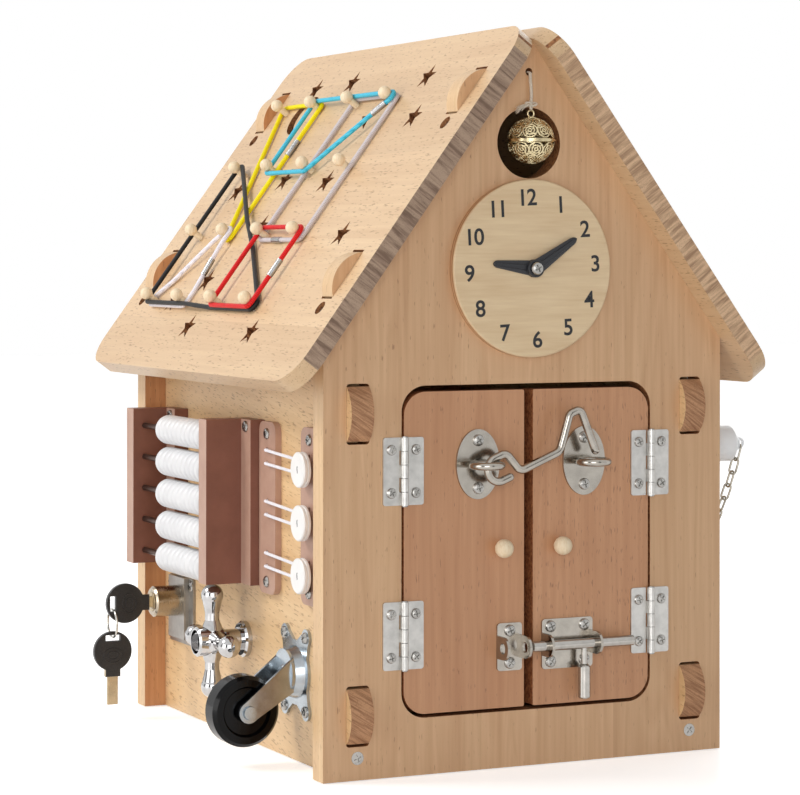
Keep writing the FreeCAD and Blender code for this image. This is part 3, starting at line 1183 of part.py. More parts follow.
tools = [bar(TAP, TAP + OUT * (hub_front + 1), TAP_STEM_RADIUS + TAP_STEM_CLEARANCE),
         bar(TAP + OUT * (hub_front - TAP_CUP[1]), TAP + OUT * (hub_front + 1), TAP_CUP[0])]
save("tap_handle", one(hub.fuse(parts).cut(tools)))

# Swivel caster: plate and race on the wall, fork on a kingpin, wheel on an axle
plate = Part.makeCylinder(CASTER_PLATE_RADIUS, CASTER_PLATE_SHEET, CASTER, OUT)
ears = [Part.makeCylinder(CASTER_EAR_RADIUS, CASTER_PLATE_SHEET, p + X * CASTER_PLATE_SHEET, OUT)
        for p in caster_screw_places]
kingpin_end = CASTER_PLATE_SHEET + CASTER_RACE_REACH + FORK_BASE_GAP + FORK_SHEET
race = Part.makeCone(CASTER_RACE_RADIUS, CASTER_RACE_RADIUS - 2.0, CASTER_RACE_REACH,
                     CASTER + OUT * CASTER_PLATE_SHEET, OUT)
kingpin = turned([(0, 0), (CASTER_KINGPIN_RADIUS, 0), (CASTER_KINGPIN_RADIUS, kingpin_end + 0.2),
                  (CASTER_KINGPIN_RADIUS + 2.2, kingpin_end + 0.2), (CASTER_KINGPIN_RADIUS + 1.0,
                                                                     kingpin_end + 1.6),
                  (0, kingpin_end + 1.6)], CASTER, OUT)
webs = []
for place in caster_screw_places:
    out = Vector(0, place.y - CASTER.y, place.z - CASTER.z)
    square = Vector(0, -out.z, out.y).normalize()
    corners = [CASTER + square * CASTER_WEB[0], CASTER + out + square * CASTER_WEB[1],
               CASTER + out - square * CASTER_WEB[1], CASTER - square * CASTER_WEB[0]]
    webs.append(prism(corners, OUT * CASTER_PLATE_SHEET))
plate = plate.fuse(ears + webs + [race, kingpin])
save("caster_plate", one(plate.cut(screw_holes(caster_screw_places, OUT, PLATE_SCREW))))

base_out = CASTER_PLATE_SHEET + CASTER_RACE_REACH + FORK_BASE_GAP
axle_centre = CASTER + OUT * CASTER_AXLE_OUT - Z * CASTER_TRAIL
cheek_in = CASTER_WHEEL_WIDTH / 2 + FORK_GAP


def cheek(side):
    """One side plate of the fork, from the base down to the axle."""
    y = CASTER.y + side * cheek_in + (0 if side > 0 else -FORK_SHEET)
    x0 = CASTER.x - base_out
    up, low = CASTER.z + FORK_BASE_RADIUS * 0.72, CASTER.z - FORK_BASE_RADIUS * 0.72
    boss = CASTER_AXLE_RADIUS + 3.6
    a, b = Vector(x0, y, up), Vector(x0, y, low)
    centre = Vector(axle_centre.x, y, axle_centre.z)
    run = (centre - a).normalize()
    square = Vector(run.z, 0, -run.x) * boss
    if square.x > 0:
        square = square * -1
    plate = prism([a, b, centre - square, centre + square], Y * FORK_SHEET)
    return plate.fuse(Part.makeCylinder(boss, FORK_SHEET, centre, Y))


fork_base = Part.makeCylinder(FORK_BASE_RADIUS, FORK_SHEET, CASTER + OUT * base_out, OUT)
fork = fork_base.fuse([cheek(-1), cheek(1)])
axle_bore = bar(axle_centre - Y * 30, axle_centre + Y * 30, CASTER_AXLE_RADIUS + HOLE_CLEARANCE)
pin_bore = bar(CASTER, CASTER + OUT * (base_out + FORK_SHEET + 1),
               CASTER_KINGPIN_RADIUS + CASTER_KINGPIN_CLEARANCE)
save("caster_fork", one(fork.cut([axle_bore, pin_bore])))
axle_half = cheek_in + FORK_SHEET + 0.02
axle = turned([(0, -axle_half - 1.8), (CASTER_AXLE_RADIUS + 1.2, -axle_half - 1.8),
               (CASTER_AXLE_RADIUS + 1.6, -axle_half),
               (CASTER_AXLE_RADIUS, -axle_half), (CASTER_AXLE_RADIUS,
                                                  axle_half), (CASTER_AXLE_RADIUS + 1.6, axle_half),
               (CASTER_AXLE_RADIUS + 1.2, axle_half + 1.8), (0, axle_half + 1.8)], axle_centre, Y)
save("caster_axle", axle)
half, r = CASTER_WHEEL_WIDTH / 2, CASTER_WHEEL_RADIUS
hub_r, rim = CASTER_AXLE_RADIUS + 3.0, r - CASTER_TREAD
bore = CASTER_AXLE_RADIUS + CASTER_AXLE_CLEARANCE
profile = [(bore, -half), (hub_r, -half), (hub_r + 0.8, -half + 2.6), (rim - 1.2, -half + 2.6), (rim,
    -half + 0.6),
           (r - 2.0, -half + 0.6), (r, -half + 3.0), (r, half - 3.0), (r - 2.0, half - 0.6), (rim,
               half - 0.6),
           (rim - 1.2, half - 2.6), (hub_r + 0.8, half - 2.6), (hub_r, half), (bore, half)]
save("caster_wheel", turned(profile, axle_centre, Y))

# Stopper in its socket on the right wall, with a chain to a screw
socket = turned([(0, 0), (SOCKET_LIP[0], 0), (SOCKET_LIP[0], SOCKET_LIP[1]), (SOCKET_RADIUS,
    SOCKET_LIP[1] + 0.8),
                 (SOCKET_RADIUS, SOCKET_REACH - 1), (SOCKET_RADIUS - 1, SOCKET_REACH), (0,
                     SOCKET_REACH)], SOCKET, X)
socket = socket.cut(bar(SOCKET + X * 1.5, SOCKET + X * (SOCKET_REACH + 1),
                        STOPPER_RADIUS + STOPPER_CLEARANCE))
save("plug_socket", one(socket))
r, far = STOPPER_RADIUS, SOCKET_REACH - STOPPER_NOSE + STOPPER_REACH
cap_r, cap = STOPPER_CAP
near = SOCKET_REACH - STOPPER_NOSE
stopper = turned([(0, near), (r - 1.0, near), (r, near + 1.0), (r, far - 1.0), (r - 1.0, far), (cap_r, far),
                  (cap_r * 0.55, far + cap), (0, far + cap)], SOCKET, X)
loop_r, loop_wire = STOPPER_LOOP
loop_at = SOCKET + X * (far + cap + loop_r - loop_wire / 2)
save("stopper_plug", one(stopper.fuse(ring(loop_at, Y, loop_r, loop_wire))))


def link(centre, along, flip):
    """One oval chain link."""
    long, wide = CHAIN_LINK
    half, r = long / 2 - wide / 2, wide / 2 - CHAIN_WIRE
    side = Y if flip else along.cross(Y)
    a, b = centre - along * half, centre + along * half
    edges = [Part.LineSegment(a + side * r, b + side * r).toShape(),
             Part.Arc(b + side * r, b + along * r, b - side * r).toShape(),
             Part.LineSegment(b - side * r, a - side * r).toShape(),
             Part.Arc(a - side * r, a - along * r, a + side * r).toShape()]
    return tube(Part.Wire(edges), CHAIN_WIRE)


# The chain hangs in a plane across the wall: from the stopper's loop down and back to a
# last link that lies against the wall on its screw
pitch = CHAIN_LINK[0] - 4 * CHAIN_WIRE - CHAIN_SLACK
start = loop_at - Z * (loop_r - (CHAIN_LINK[0] / 2 - CHAIN_WIRE - pitch / 2))
last = Vector(RIGHT + CHAIN_STAND_OFF, chain_screw_place.y,
              chain_screw_place.z - (CHAIN_LINK[0] / 2 - 2 * CHAIN_WIRE - PLATE_SCREW[2] - 0.1))
end = last - Z * (pitch / 2)
hanging = CHAIN_LINKS - 1


def sag(dip):
    """Chain line: a parabola from start to end, its lowest point dip below the chord."""
    samples = []
    for i in range(201):
        t = i / 200
        chord = start + (end - start) * t
        samples.append(chord - Z * (4 * dip * t * (1 - t)))
    return samples


def line_length(samples):
    """Length of the line through the samples."""
    return sum((samples[i + 1] - samples[i]).Length for i in range(len(samples) - 1))


low, high = 0.0, 200.0
for step in range(50):
    dip = (low + high) / 2
    if line_length(sag(dip)) < hanging * pitch:
        low = dip
    else:
        high = dip
samples = sag(dip)
joints, travelled = [samples[0]], 0.0
for i in range(1, len(samples)):
    travelled += (samples[i] - samples[i - 1]).Length
    if travelled >= pitch * len(joints) - 1e-6:
        joints.append(samples[i])
joints = joints[:hanging]
joints.append(samples[-1])
links = []
for i in range(hanging):
    a, b = joints[i], joints[i + 1]
    links.append(link((a + b) * 0.5, (b - a).normalize(), i % 2 == 0))
links.append(link(last, Z, hanging % 2 == 0))
print("chain lowest %.1f, %d links, pitch %.2f" % (min(p.z for p in joints), len(links), pitch))
save("plug_chain", links)

# Screws of the fittings on both side walls
side_screws = screws(bracket_screw_places, OUT, WALL_SCREW, (15, 40))
side_screws += screws(strip_screw_places, OUT, PLATE_SCREW, (30, 75, 10, 55))
side_screws += screws(lock_screw_places, OUT, PLATE_SCREW, (20, 65, 45, 5))
side_screws += screws(caster_screw_places, OUT, PLATE_SCREW, (50, 25, 70, 15))
side_screws.append(screw(chain_screw_place, X, CHAIN_SCREW, 35.0))
save("side_screws", side_screws)
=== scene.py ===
import bpy
import bmesh
import math
import numpy as np
from mathutils import Euler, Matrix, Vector


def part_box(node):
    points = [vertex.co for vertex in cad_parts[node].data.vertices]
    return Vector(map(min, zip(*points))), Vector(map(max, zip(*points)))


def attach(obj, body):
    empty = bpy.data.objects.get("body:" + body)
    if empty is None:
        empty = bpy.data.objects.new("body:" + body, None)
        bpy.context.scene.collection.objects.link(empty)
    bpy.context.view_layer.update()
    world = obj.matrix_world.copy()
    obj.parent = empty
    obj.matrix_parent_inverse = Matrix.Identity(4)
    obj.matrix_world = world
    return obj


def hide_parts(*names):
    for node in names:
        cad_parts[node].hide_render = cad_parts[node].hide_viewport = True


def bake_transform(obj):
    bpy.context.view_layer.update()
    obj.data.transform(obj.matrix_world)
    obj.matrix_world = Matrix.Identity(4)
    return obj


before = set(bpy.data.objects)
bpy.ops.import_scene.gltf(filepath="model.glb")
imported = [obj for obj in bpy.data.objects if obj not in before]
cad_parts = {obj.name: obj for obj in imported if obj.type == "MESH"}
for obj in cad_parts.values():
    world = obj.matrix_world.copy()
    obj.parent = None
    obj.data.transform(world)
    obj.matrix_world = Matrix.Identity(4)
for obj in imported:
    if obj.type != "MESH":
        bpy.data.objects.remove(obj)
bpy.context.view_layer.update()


# The two gables
# Flat-sawn beech boards, sanded and given a satin lacquer. Doorway, round hole and the slots
# for the tabs are cut right through, and their walls are browned by the cutter.

def tint(red, green, blue):
    """A colour as a screen shows it, 0 to 255, in the linear form that a shader takes."""
    return tuple((c / 255) ** 2.2 for c in (red, green, blue)) + (1.0,)


class Finish:
    """A material being made: node() adds a node and sets or links its sockets; the shader is there from the
    start, and **shader names its sockets with lines for the blanks."""

    def __init__(self, name, **shader):
        self.material = bpy.data.materials.new(name)
        self.material.use_nodes = True
        self.tree = self.material.node_tree
        self.tree.nodes.clear()
        self.shader = self.node("ShaderNodeBsdfPrincipled")
        self.shade(**shader)
        self.node("ShaderNodeOutputMaterial", {"Surface": self.shader.outputs[0]})
        self.place = self.node("ShaderNodeTexCoord").outputs["Object"]

    def feed(self, socket, value):
        """Links value to the socket where it is another node's output, and sets the socket to it if not."""
        if isinstance(value, bpy.types.NodeSocket):
            self.tree.links.new(value, socket)
        else:
            socket.default_value = value

    def node(self, kind, sockets=None, **settings):
        made = self.tree.nodes.new(kind)
        for key, value in settings.items():
            setattr(made, key, value)
        for key, value in (sockets or {}).items():
            self.feed(made.inputs[key], value)
        return made

    def shade(self, **sockets):
        """Links or sets the shader's own sockets."""
        for key, value in sockets.items():
            self.feed(self.shader.inputs[key.replace("_", " ")], value)

    def math(self, operation, a, b=0.0, c=0.0):
        return self.node("ShaderNodeMath", {0: a, 1: b, 2: c}, operation=operation).outputs[0]

    def noise(self, place, size, detail=2.0, roughness=0.5, turn=(0, 0, 0), distortion=0.0):
        """Noise whose blobs measure size along the three axes, in metres."""
        stretched = self.node("ShaderNodeMapping", {"Vector": place, "Rotation": turn, "Scale": size},
                              vector_type="TEXTURE")
        return self.node("ShaderNodeTexNoise",
                         {"Vector": stretched.outputs[0], "Scale": 1.0, "Detail": detail,
                          "Roughness": roughness, "Distortion": distortion}).outputs[0]

    def ramp(self, value, stops):
        """A colour ramp given as (position, colour) stops; a single number stands for a grey."""
        made = self.node("ShaderNodeValToRGB", {"Fac": value})
        points = made.color_ramp.elements
        while len(points) < len(stops):
            points.new(0.5)
        for point, (position, colour) in zip(points, stops):
            point.position = position
            point.color = colour if isinstance(colour, tuple) else (colour, colour, colour, 1)
        return made.outputs[0]

    def blend(self, share, a, b, how="MIX"):
        """Colour a passing into colour b, which a mix node takes at its sockets 6 and 7."""
        return self.node("ShaderNodeMix", {"Factor": share, 6: a, 7: b},
                         data_type="RGBA", blend_type=how).outputs[2]

    def bump(self, height, depth, strength=1.0):
        made = self.node("ShaderNodeBump", {"Height": height, "Distance": depth, "Strength": strength})
        self.shade(Normal=made.outputs[0])


def beech(name, pale, deep, fleck, along=2, across=0, strip=0.0, shift=0.0, turn=(0, 0, 0),
          flecks=0.66, tone=0.06, contours=9.0, drawn=0.20):
    """Lacquered beech. Long streaks, contour lines of a slow noise for the growth rings, and short dark
    pores, all stretched along the grain; a board glued up from strips gets a shade and a cut of the
    pattern for each strip, strip wide."""
    f = Finish(name, Roughness=0.42, Coat_Weight=0.12, Coat_Roughness=0.28)

    def sizes(long, wide):
        return tuple(long if axis == along else wide for axis in range(3))

    turned = f.node("ShaderNodeMapping", {"Vector": f.place, "Rotation": turn},
                    vector_type="TEXTURE").outputs[0]
    place = turned
    shade = 0.5
    if strip:
        parts = f.node("ShaderNodeSeparateXYZ", {"Vector": turned})
        number = f.math("FLOOR", f.math("MULTIPLY_ADD", parts.outputs[across], 1 / strip, shift))
        shade = f.node("ShaderNodeTexWhiteNoise", {"W": number}, noise_dimensions="1D").outputs["Value"]
        far = f.math("MULTIPLY", shade, 3.0)
        jump = f.node("ShaderNodeCombineXYZ", {"X": far, "Y": far, "Z": far})
        place = f.node("ShaderNodeVectorMath", {0: turned, 1: jump.outputs[0]}, operation="ADD").outputs[0]
    streaks = f.noise(place, sizes(0.14, 0.0032), 4.0, 0.62)
    figure = f.noise(place, sizes(0.30, 0.024), 2.0, 0.5, distortion=0.6)
    rings = f.math("PINGPONG", f.math("MULTIPLY", figure, contours), 0.5)
    slow = f.math("MULTIPLY_ADD", rings, drawn, f.math("MULTIPLY", figure, 0.54 - drawn))
    mixed = f.math("ADD", f.math("MULTIPLY", streaks, 0.58), slow)
    wood = f.ramp(mixed, [(0.26, deep), (0.74, pale)])
    light = f.math("MULTIPLY_ADD", shade, 2 * tone, 1 - tone)
    grey = f.node("ShaderNodeCombineColor", {0: light, 1: light, 2: light}).outputs[0]
    wood = f.blend(1.0, wood, grey, "MULTIPLY")
    pores = f.noise(place, sizes(0.0060, 0.00085), 1.0, 0.4)
    dark = f.ramp(pores, [(flecks, 0.0), (flecks + 0.07, 1.0)])
    fine = f.noise(place, sizes(0.020, 0.0007), 3.0, 0.7)
    wood = f.blend(f.math("MULTIPLY", dark, 0.55), wood, fleck)
    wood = f.blend(f.ramp(fine, [(0.50, 0.0), (0.85, 0.30)]), wood, deep)
    f.shade(Base_Color=wood, Roughness=f.math("MULTIPLY_ADD", streaks, 0.16, 0.34))
    f.bump(f.math("SUBTRACT", f.math("MULTIPLY", fine, 0.5), dark), 0.00012, 0.5)
    return f.material


def end_grain(name, pale, deep, size, turn=(0, 0, 0)):
    """Sawn end grain: close dark lines of the growth rings, spaced as size says, and a scatter of pores."""
    f = Finish(name, Roughness=0.62)
    rings = f.noise(f.place, size, 4.0, 0.65, turn, 0.5)
    pores = f.noise(f.place, (0.0007, 0.0007, 0.0007), 1.0, 0.5)
    wood = f.ramp(rings, [(0.36, deep), (0.60, pale)])
    wood = f.blend(f.ramp(pores, [(0.56, 0.0), (0.70, 0.5)]), wood, deep)
    f.shade(Base_Color=wood)
    f.bump(rings, 0.0002, 0.5)
    return f.material


def browned(name, pale, deep):
    """A wall left by the hot cutter: brown in small clouds."""
    f = Finish(name, Roughness=0.66)
    burn = f.noise(f.place, (0.0018, 0.0018, 0.0018), 3.0, 0.6)
    f.shade(Base_Color=f.ramp(burn, [(0.35, deep), (0.68, pale)]))
    f.bump(burn, 0.0001, 0.4)
    return f.material


def piece(name, points, faces, materials, body, smooth=0.0, replaces=()):
    """A new object at the origin from points and faces, smooth below the angle smooth, riding on body."""
    mesh = bpy.data.meshes.new(name)
    mesh.from_pydata(points, [], faces)
    mesh.update()
    for material in materials:
        mesh.materials.append(material)
    if smooth:
        mesh.shade_smooth()
        mesh.set_sharp_from_angle(angle=math.radians(smooth))
    made = bpy.data.objects.new(name, mesh)
    bpy.context.scene.collection.objects.link(made)
    if body:
        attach(made, body)
    if replaces:
        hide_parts(*replaces)
    return made


def eased(node, name, materials, body, ease=0.0006, smooth=35.0, dissolve=True):
    """A copy of a CAD node, its triangles merged, its flats whole faces, its sharp edges rounded by ease."""
    work = bmesh.new()
    work.from_mesh(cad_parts[node].data)
    bmesh.ops.remove_doubles(work, verts=work.verts, dist=1e-6)
    if dissolve:
        bmesh.ops.dissolve_limit(work, angle_limit=math.radians(0.4), verts=work.verts, edges=work.edges)
    work.verts.ensure_lookup_table()
    points = [v.co.copy() for v in work.verts]
    faces = [[v.index for v in f.verts] for f in work.faces]
    work.free()
    made = piece(name, points, faces, materials, body, smooth, [node])
    if ease:
        bevel = made.modifiers.new("eased_edges", "BEVEL")
        bevel.width = ease
        bevel.segments = 2
        bevel.limit_method = "ANGLE"
        bevel.angle_limit = math.radians(40)
        bevel.use_clamp_overlap = True
        bevel.harden_normals = True
    return made


def face_data(made):
    """Middles and outward normals of an object's faces, as two arrays."""
    count = len(made.data.polygons)
    middles, normals = np.zeros(count * 3), np.zeros(count * 3)
    made.data.polygons.foreach_get("center", middles)
    made.data.polygons.foreach_get("normal", normals)
    return middles.reshape(-1, 3), normals.reshape(-1, 3)


def paint(made, chosen, index):
    """Gives the chosen faces the material at index."""
    numbers = np.zeros(len(made.data.polygons), np.int32)
    made.data.polygons.foreach_get("material_index", numbers)
    numbers[chosen] = index
    made.data.polygons.foreach_set("material_index", numbers)


half_width, eave, roof_turn = 0.130, 0.246, math.radians(53.5)
apex = half_width * math.tan(roof_turn) + eave
rim = 0.003
front_beech = beech("front_beech", tint(224, 185, 144), tint(195, 150, 111), tint(134, 90, 60),
                    strip=0.087, shift=0.35, flecks=0.70, tone=0.035)
back_beech = beech("back_beech", tint(214, 158, 110), tint(182, 120, 76), tint(122, 74, 44),
                   strip=0.087, shift=0.1, flecks=0.70, tone=0.035)
edge_beech = beech("gable_edge_beech", tint(228, 194, 150), tint(204, 164, 118), tint(140, 96, 60))
cut_wall = browned("browned_wall", tint(180, 124, 80), tint(112, 68, 40))
for node, name, board in (("front_panel", "front_gable", front_beech),
                          ("back_panel", "back_gable", back_beech)):
    gable = eased(node, name, [board, cut_wall, edge_beech], "house")
    middle, normal = face_data(gable)
    inside = (np.abs(middle[:, 0]) < half_width - rim) & (middle[:, 2] > rim)
    inside &= middle[:, 2] < apex - np.abs(middle[:, 0]) * math.tan(roof_turn) - 2 * rim
    paint(gable, inside & (np.abs(normal[:, 1]) < 0.5), 1)
    paint(gable, ~inside & (np.abs(normal[:, 1]) < 0.5), 2)


# The side walls and the floor board
# Paler beech, grain running from front to back, with short brown pores. Two half-round tabs at
# each end of a wall come through the gables and show their darker end grain.

tab_face = 0.1512
wall_beech = beech("wall_beech", tint(234, 201, 154), tint(212, 171, 122), tint(146, 102, 66),
                   along=1, across=2, strip=0.071, shift=0.2, turn=(math.radians(9), 0, 0),
                   flecks=0.62, tone=0.03, contours=4.0, drawn=0.10)
tab_end = end_grain("tab_end_grain", tint(193, 146, 108), tint(140, 96, 66), (0.02, 0.02, 0.0012),
                    (0, math.radians(32), 0))
for node, name in (("left_panel", "left_wall"), ("right_panel", "right_wall")):
    wall = eased(node, name, [wall_beech, tab_end], "house")
    middle, normal = face_data(wall)
    paint(wall, np.abs(middle[:, 1]) > tab_face, 1)
eased("floor_panel", "floor_board", [wall_beech], "house")


# The roof boards
# Pale beech with its grain along the ridge. Stars and a moon are cut through the left board, and
# the front and back edges show grey-brown end grain in close lines.

ridge, end_face = 0.4283, 0.1672
for node, name, side, ends in (
        ("roof_left", "roof_board_left", 1, (tint(174, 148, 126), tint(116, 92, 76))),
        ("roof_right", "roof_board_right", -1, (tint(224, 187, 150), tint(162, 127, 98)))):
    turn = (0, -side * roof_turn, 0)
    roof_beech = beech(name.replace("board", "beech"), tint(226, 195, 155), tint(203, 165, 124),
                       tint(138, 96, 62), along=1, strip=0.062, turn=turn, flecks=0.635, tone=0.03,
                       contours=5.0, drawn=0.12)
    roof_end = end_grain(name.replace("board", "end"), *ends, (0.0026, 0.05, 0.03), turn)
    board = eased(node, name, [roof_beech, roof_end, cut_wall], "house", 0.0012)
    middle, normal = face_data(board)
    reach = np.abs(middle[:, 1])
    down = np.abs(middle[:, 0]) * math.cos(roof_turn) + (ridge - middle[:, 2]) * math.sin(roof_turn)
    flat = np.abs(normal[:, 0] * math.sin(roof_turn) * -side + normal[:, 2] * math.cos(roof_turn)) > 0.7
    paint(board, reach > end_face, 1)
    # the walls of the cut shapes: inside the board's rim, without the rounding of its lower corners
    corner = (reach > 0.146) & (down > 0.225)
    inside = (reach < 0.164) & (down > 0.012) & (down < 0.245) & ~corner
    paint(board, inside & ~flat, 2)


# Pegs, elastic bands and their crimped sleeves
# Sixteen turned ball pegs carry six bands of round covered elastic. Five of the bands show the
# bright metal sleeve that is pressed on their two ends.

def turned_wood(name, pale, deep):
    """Small turned pieces of pale wood: a fine even upright grain with no pores."""
    f = Finish(name, Roughness=0.5, Coat_Weight=0.08, Coat_Roughness=0.3)
    grain = f.noise(f.place, (0.0009, 0.0009, 0.006), 3.0, 0.6)
    f.shade(Base_Color=f.ramp(grain, [(0.3, deep), (0.7, pale)]))
    f.bump(grain, 0.00005, 0.4)
    return f.material


def elastic(name, pale, deep):
    """Covered elastic: a plaited sleeve of fine slanted ribs, with painted shade making the grooves darker.
    """
    f = Finish(name, Roughness=0.55, Sheen_Weight=0.06, Sheen_Roughness=0.4, Specular_IOR_Level=0.3)
    rib = f.node("ShaderNodeTexWave", {"Vector": f.place, "Scale": 420.0, "Distortion": 1.2, "Detail": 1.0,
                                       "Detail Scale": 2.0}, bands_direction="DIAGONAL").outputs["Fac"]
    tone = f.noise(f.place, (0.004, 0.004, 0.004), 2.0, 0.5)
    # the rib wave darkens the colour where the bump sinks: painted shade in the grooves; the slow noise is
    # the cord's own tone
    mixed = f.math("MULTIPLY_ADD", rib, 0.6, f.math("MULTIPLY", tone, 0.4))
    f.shade(Base_Color=f.ramp(mixed, [(0.15, deep), (0.6, pale)]))
    f.bump(rib, 0.00012, 0.5)
    return f.material


def metal(name, colour, rough, scratch=(0.002, 0.002, 0.002), depth=0.00002, uneven=0.12):
    """Bare or plated metal: a faint cloud in the colour, and marks of the size scratch in the shine."""
    f = Finish(name, Metallic=1.0, Roughness=rough)
    cloud = f.noise(f.place, (0.006, 0.006, 0.006), 3.0, 0.6)
    marks = f.noise(f.place, scratch, 4.0, 0.7)
    dull = tuple(c * 0.80 for c in colour[:3]) + (1.0,)
    f.shade(Base_Color=f.ramp(cloud, [(0.3, dull), (0.65, colour)]),
            Roughness=f.math("MULTIPLY_ADD", marks, 2 * uneven, rough - uneven))
    f.bump(marks, depth, 0.6)
    return f.material


def finish_node(node, *materials):
    """Gives a CAD node that keeps its own shape these materials."""
    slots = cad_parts[node].data.materials
    slots.clear()
    for material in materials:
        slots.append(material)


pale_turned = turned_wood("pale_turned_wood", tint(246, 228, 198), tint(230, 205, 166))
finish_node("roof_pegs", pale_turned)
# the middle of each band seen from above, in millimetres, and its two colours
band_colours = {
    "yellow": ((-70.3, 89.1), tint(252, 236, 4), tint(232, 208, 2)),
    "sky_blue": ((-57.5, 5.5), tint(84, 200, 228), tint(50, 168, 200)),
    "grey": ((-70.3, -23.1), tint(214, 206, 208), tint(182, 172, 176)),
    "red": ((-118.3, -23.1), tint(226, 30, 34), tint(182, 14, 20)),
    "black": ((-103.1, 32.7), tint(27, 26, 27), tint(11, 11, 12)),
    "white": ((-117.1, 89.1), tint(246, 242, 248), tint(216, 212, 222))}
work = bmesh.new()
work.from_mesh(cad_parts["elastic_bands"].data)
bmesh.ops.remove_doubles(work, verts=work.verts, dist=1e-6)
work.verts.ensure_lookup_table()
loose = set(range(len(work.verts)))
while loose:
    ring, edge = set(), [work.verts[min(loose)]]
    while edge:
        vertex = edge.pop()
        if vertex.index not in ring:
            ring.add(vertex.index)
            edge.extend(e.other_vert(vertex) for e in vertex.link_edges)
    loose -= ring
    order = sorted(ring)
    points = np.array([work.verts[i].co for i in order])
    number = {old: new for new, old in enumerate(order)}
    faces = [[number[v.index] for v in f.verts] for f in work.faces if f.verts[0].index in ring]
    middle = (points.min(0) + points.max(0))[:2] / 2 * 1000
    colour = min(band_colours, key=lambda c: np.hypot(*(middle - np.array(band_colours[c][0]))))
    cord = elastic(colour + "_elastic", *band_colours[colour][1:])
    piece("band_" + colour, points.tolist(), faces, [cord], "house", 80.0, ["elastic_bands"])
work.free()
finish_node("band_crimps", metal("crimp_metal", tint(172, 172, 172), 0.28, (0.0006, 0.0006, 0.0006), 0.0001))


# Screws
# Bright zinc-plated cross-head screws; the ones let into the boards sit in small counterbores.

screw_metal = metal("screw_metal", tint(172, 170, 166), 0.26, (0.0008, 0.0008, 0.0008), 0.00003)
for node in ("panel_screws", "hinge_frame_screws", "left_door_screws", "right_door_screws",
             "side_screws", "clock_screw"):
    finish_node(node, screw_metal)


# The doors and their knobs
# Redder beech with upright grain and sanded round edges, the left door glued from a wide and a
# narrow strip; small turned ball knobs are glued in.

for node, name, strip, shift, flecks in (("left_door_panel", "left_door", 0.0535, 0.495, 0.70),
                                         ("right_door_panel", "right_door", 0.2, 0.5, 0.645)):
    reddish = beech(name + "_beech", tint(209, 158, 120), tint(182, 129, 92), tint(112, 68, 46),
                    strip=strip, shift=shift, flecks=flecks, tone=0.05)
    leaf = eased(node, name, [reddish, browned(name + "_edge", tint(190, 122, 78), tint(120, 66, 36))],
                 name, 0.0008)
    middle, normal = face_data(leaf)
    paint(leaf, np.abs(normal[:, 1]) < 0.3, 1)
for node in ("left_knob", "right_knob"):
    finish_node(node, pale_turned)


# Hinges, cabin hook and barrel bolt
# Butt hinges stamped from satin sheet steel. The hook, its two rings on oval plates and the
# bolt are polished steel.

hinge_sheet = metal("satin_sheet_steel", tint(198, 196, 192), 0.36, (0.004, 0.004, 0.0004), 0.00004)
for node in ("hinge_frame_leaves", "left_door_leaves", "right_door_leaves"):
    finish_node(node, hinge_sheet)
finish_node("hinge_pins", metal("pin_steel", tint(160, 160, 158), 0.25))
polished = metal("polished_steel", tint(172, 166, 157), 0.17, (0.003, 0.003, 0.003), 0.00002, 0.06)
for node in ("left_eye", "right_eye", "cabin_hook", "bolt_keeper", "bolt_base"):
    finish_node(node, polished)
bright_rod = metal("bright_rod", tint(180, 176, 170), 0.14, (0.008, 0.0008, 0.0008), 0.00001, 0.05)
finish_node("bolt_rod", bright_rod)


# The clock
# A round dial of pale plywood with printed black numerals, and two moulded black hands with a
# raised middle, held by one cross-head screw.

f = Finish("dial_plywood", Roughness=0.5, Coat_Weight=0.06)
grain = f.noise(f.place, (0.030, 0.004, 0.0022), 4.0, 0.6)
cloud = f.noise(f.place, (0.05, 0.05, 0.012), 2.0, 0.5)
face = f.ramp(f.math("MULTIPLY_ADD", grain, 0.5, f.math("MULTIPLY", cloud, 0.5)),
              [(0.35, tint(218, 188, 148)), (0.65, tint(234, 209, 170))])
depth = f.node("ShaderNodeSeparateXYZ", {"Vector": f.place}).outputs[1]
plies, just_behind_face = 900.0, -0.1555
ply = f.math("PINGPONG", f.math("MULTIPLY", depth, plies), 1.0)
edge = f.ramp(ply, [(0.3, tint(214, 176, 134)), (0.7, tint(176, 130, 96))])
f.shade(Base_Color=f.blend(f.math("GREATER_THAN", depth, just_behind_face), face, edge))
f.bump(grain, 0.00008, 0.4)
finish_node("clock_dial", f.material)

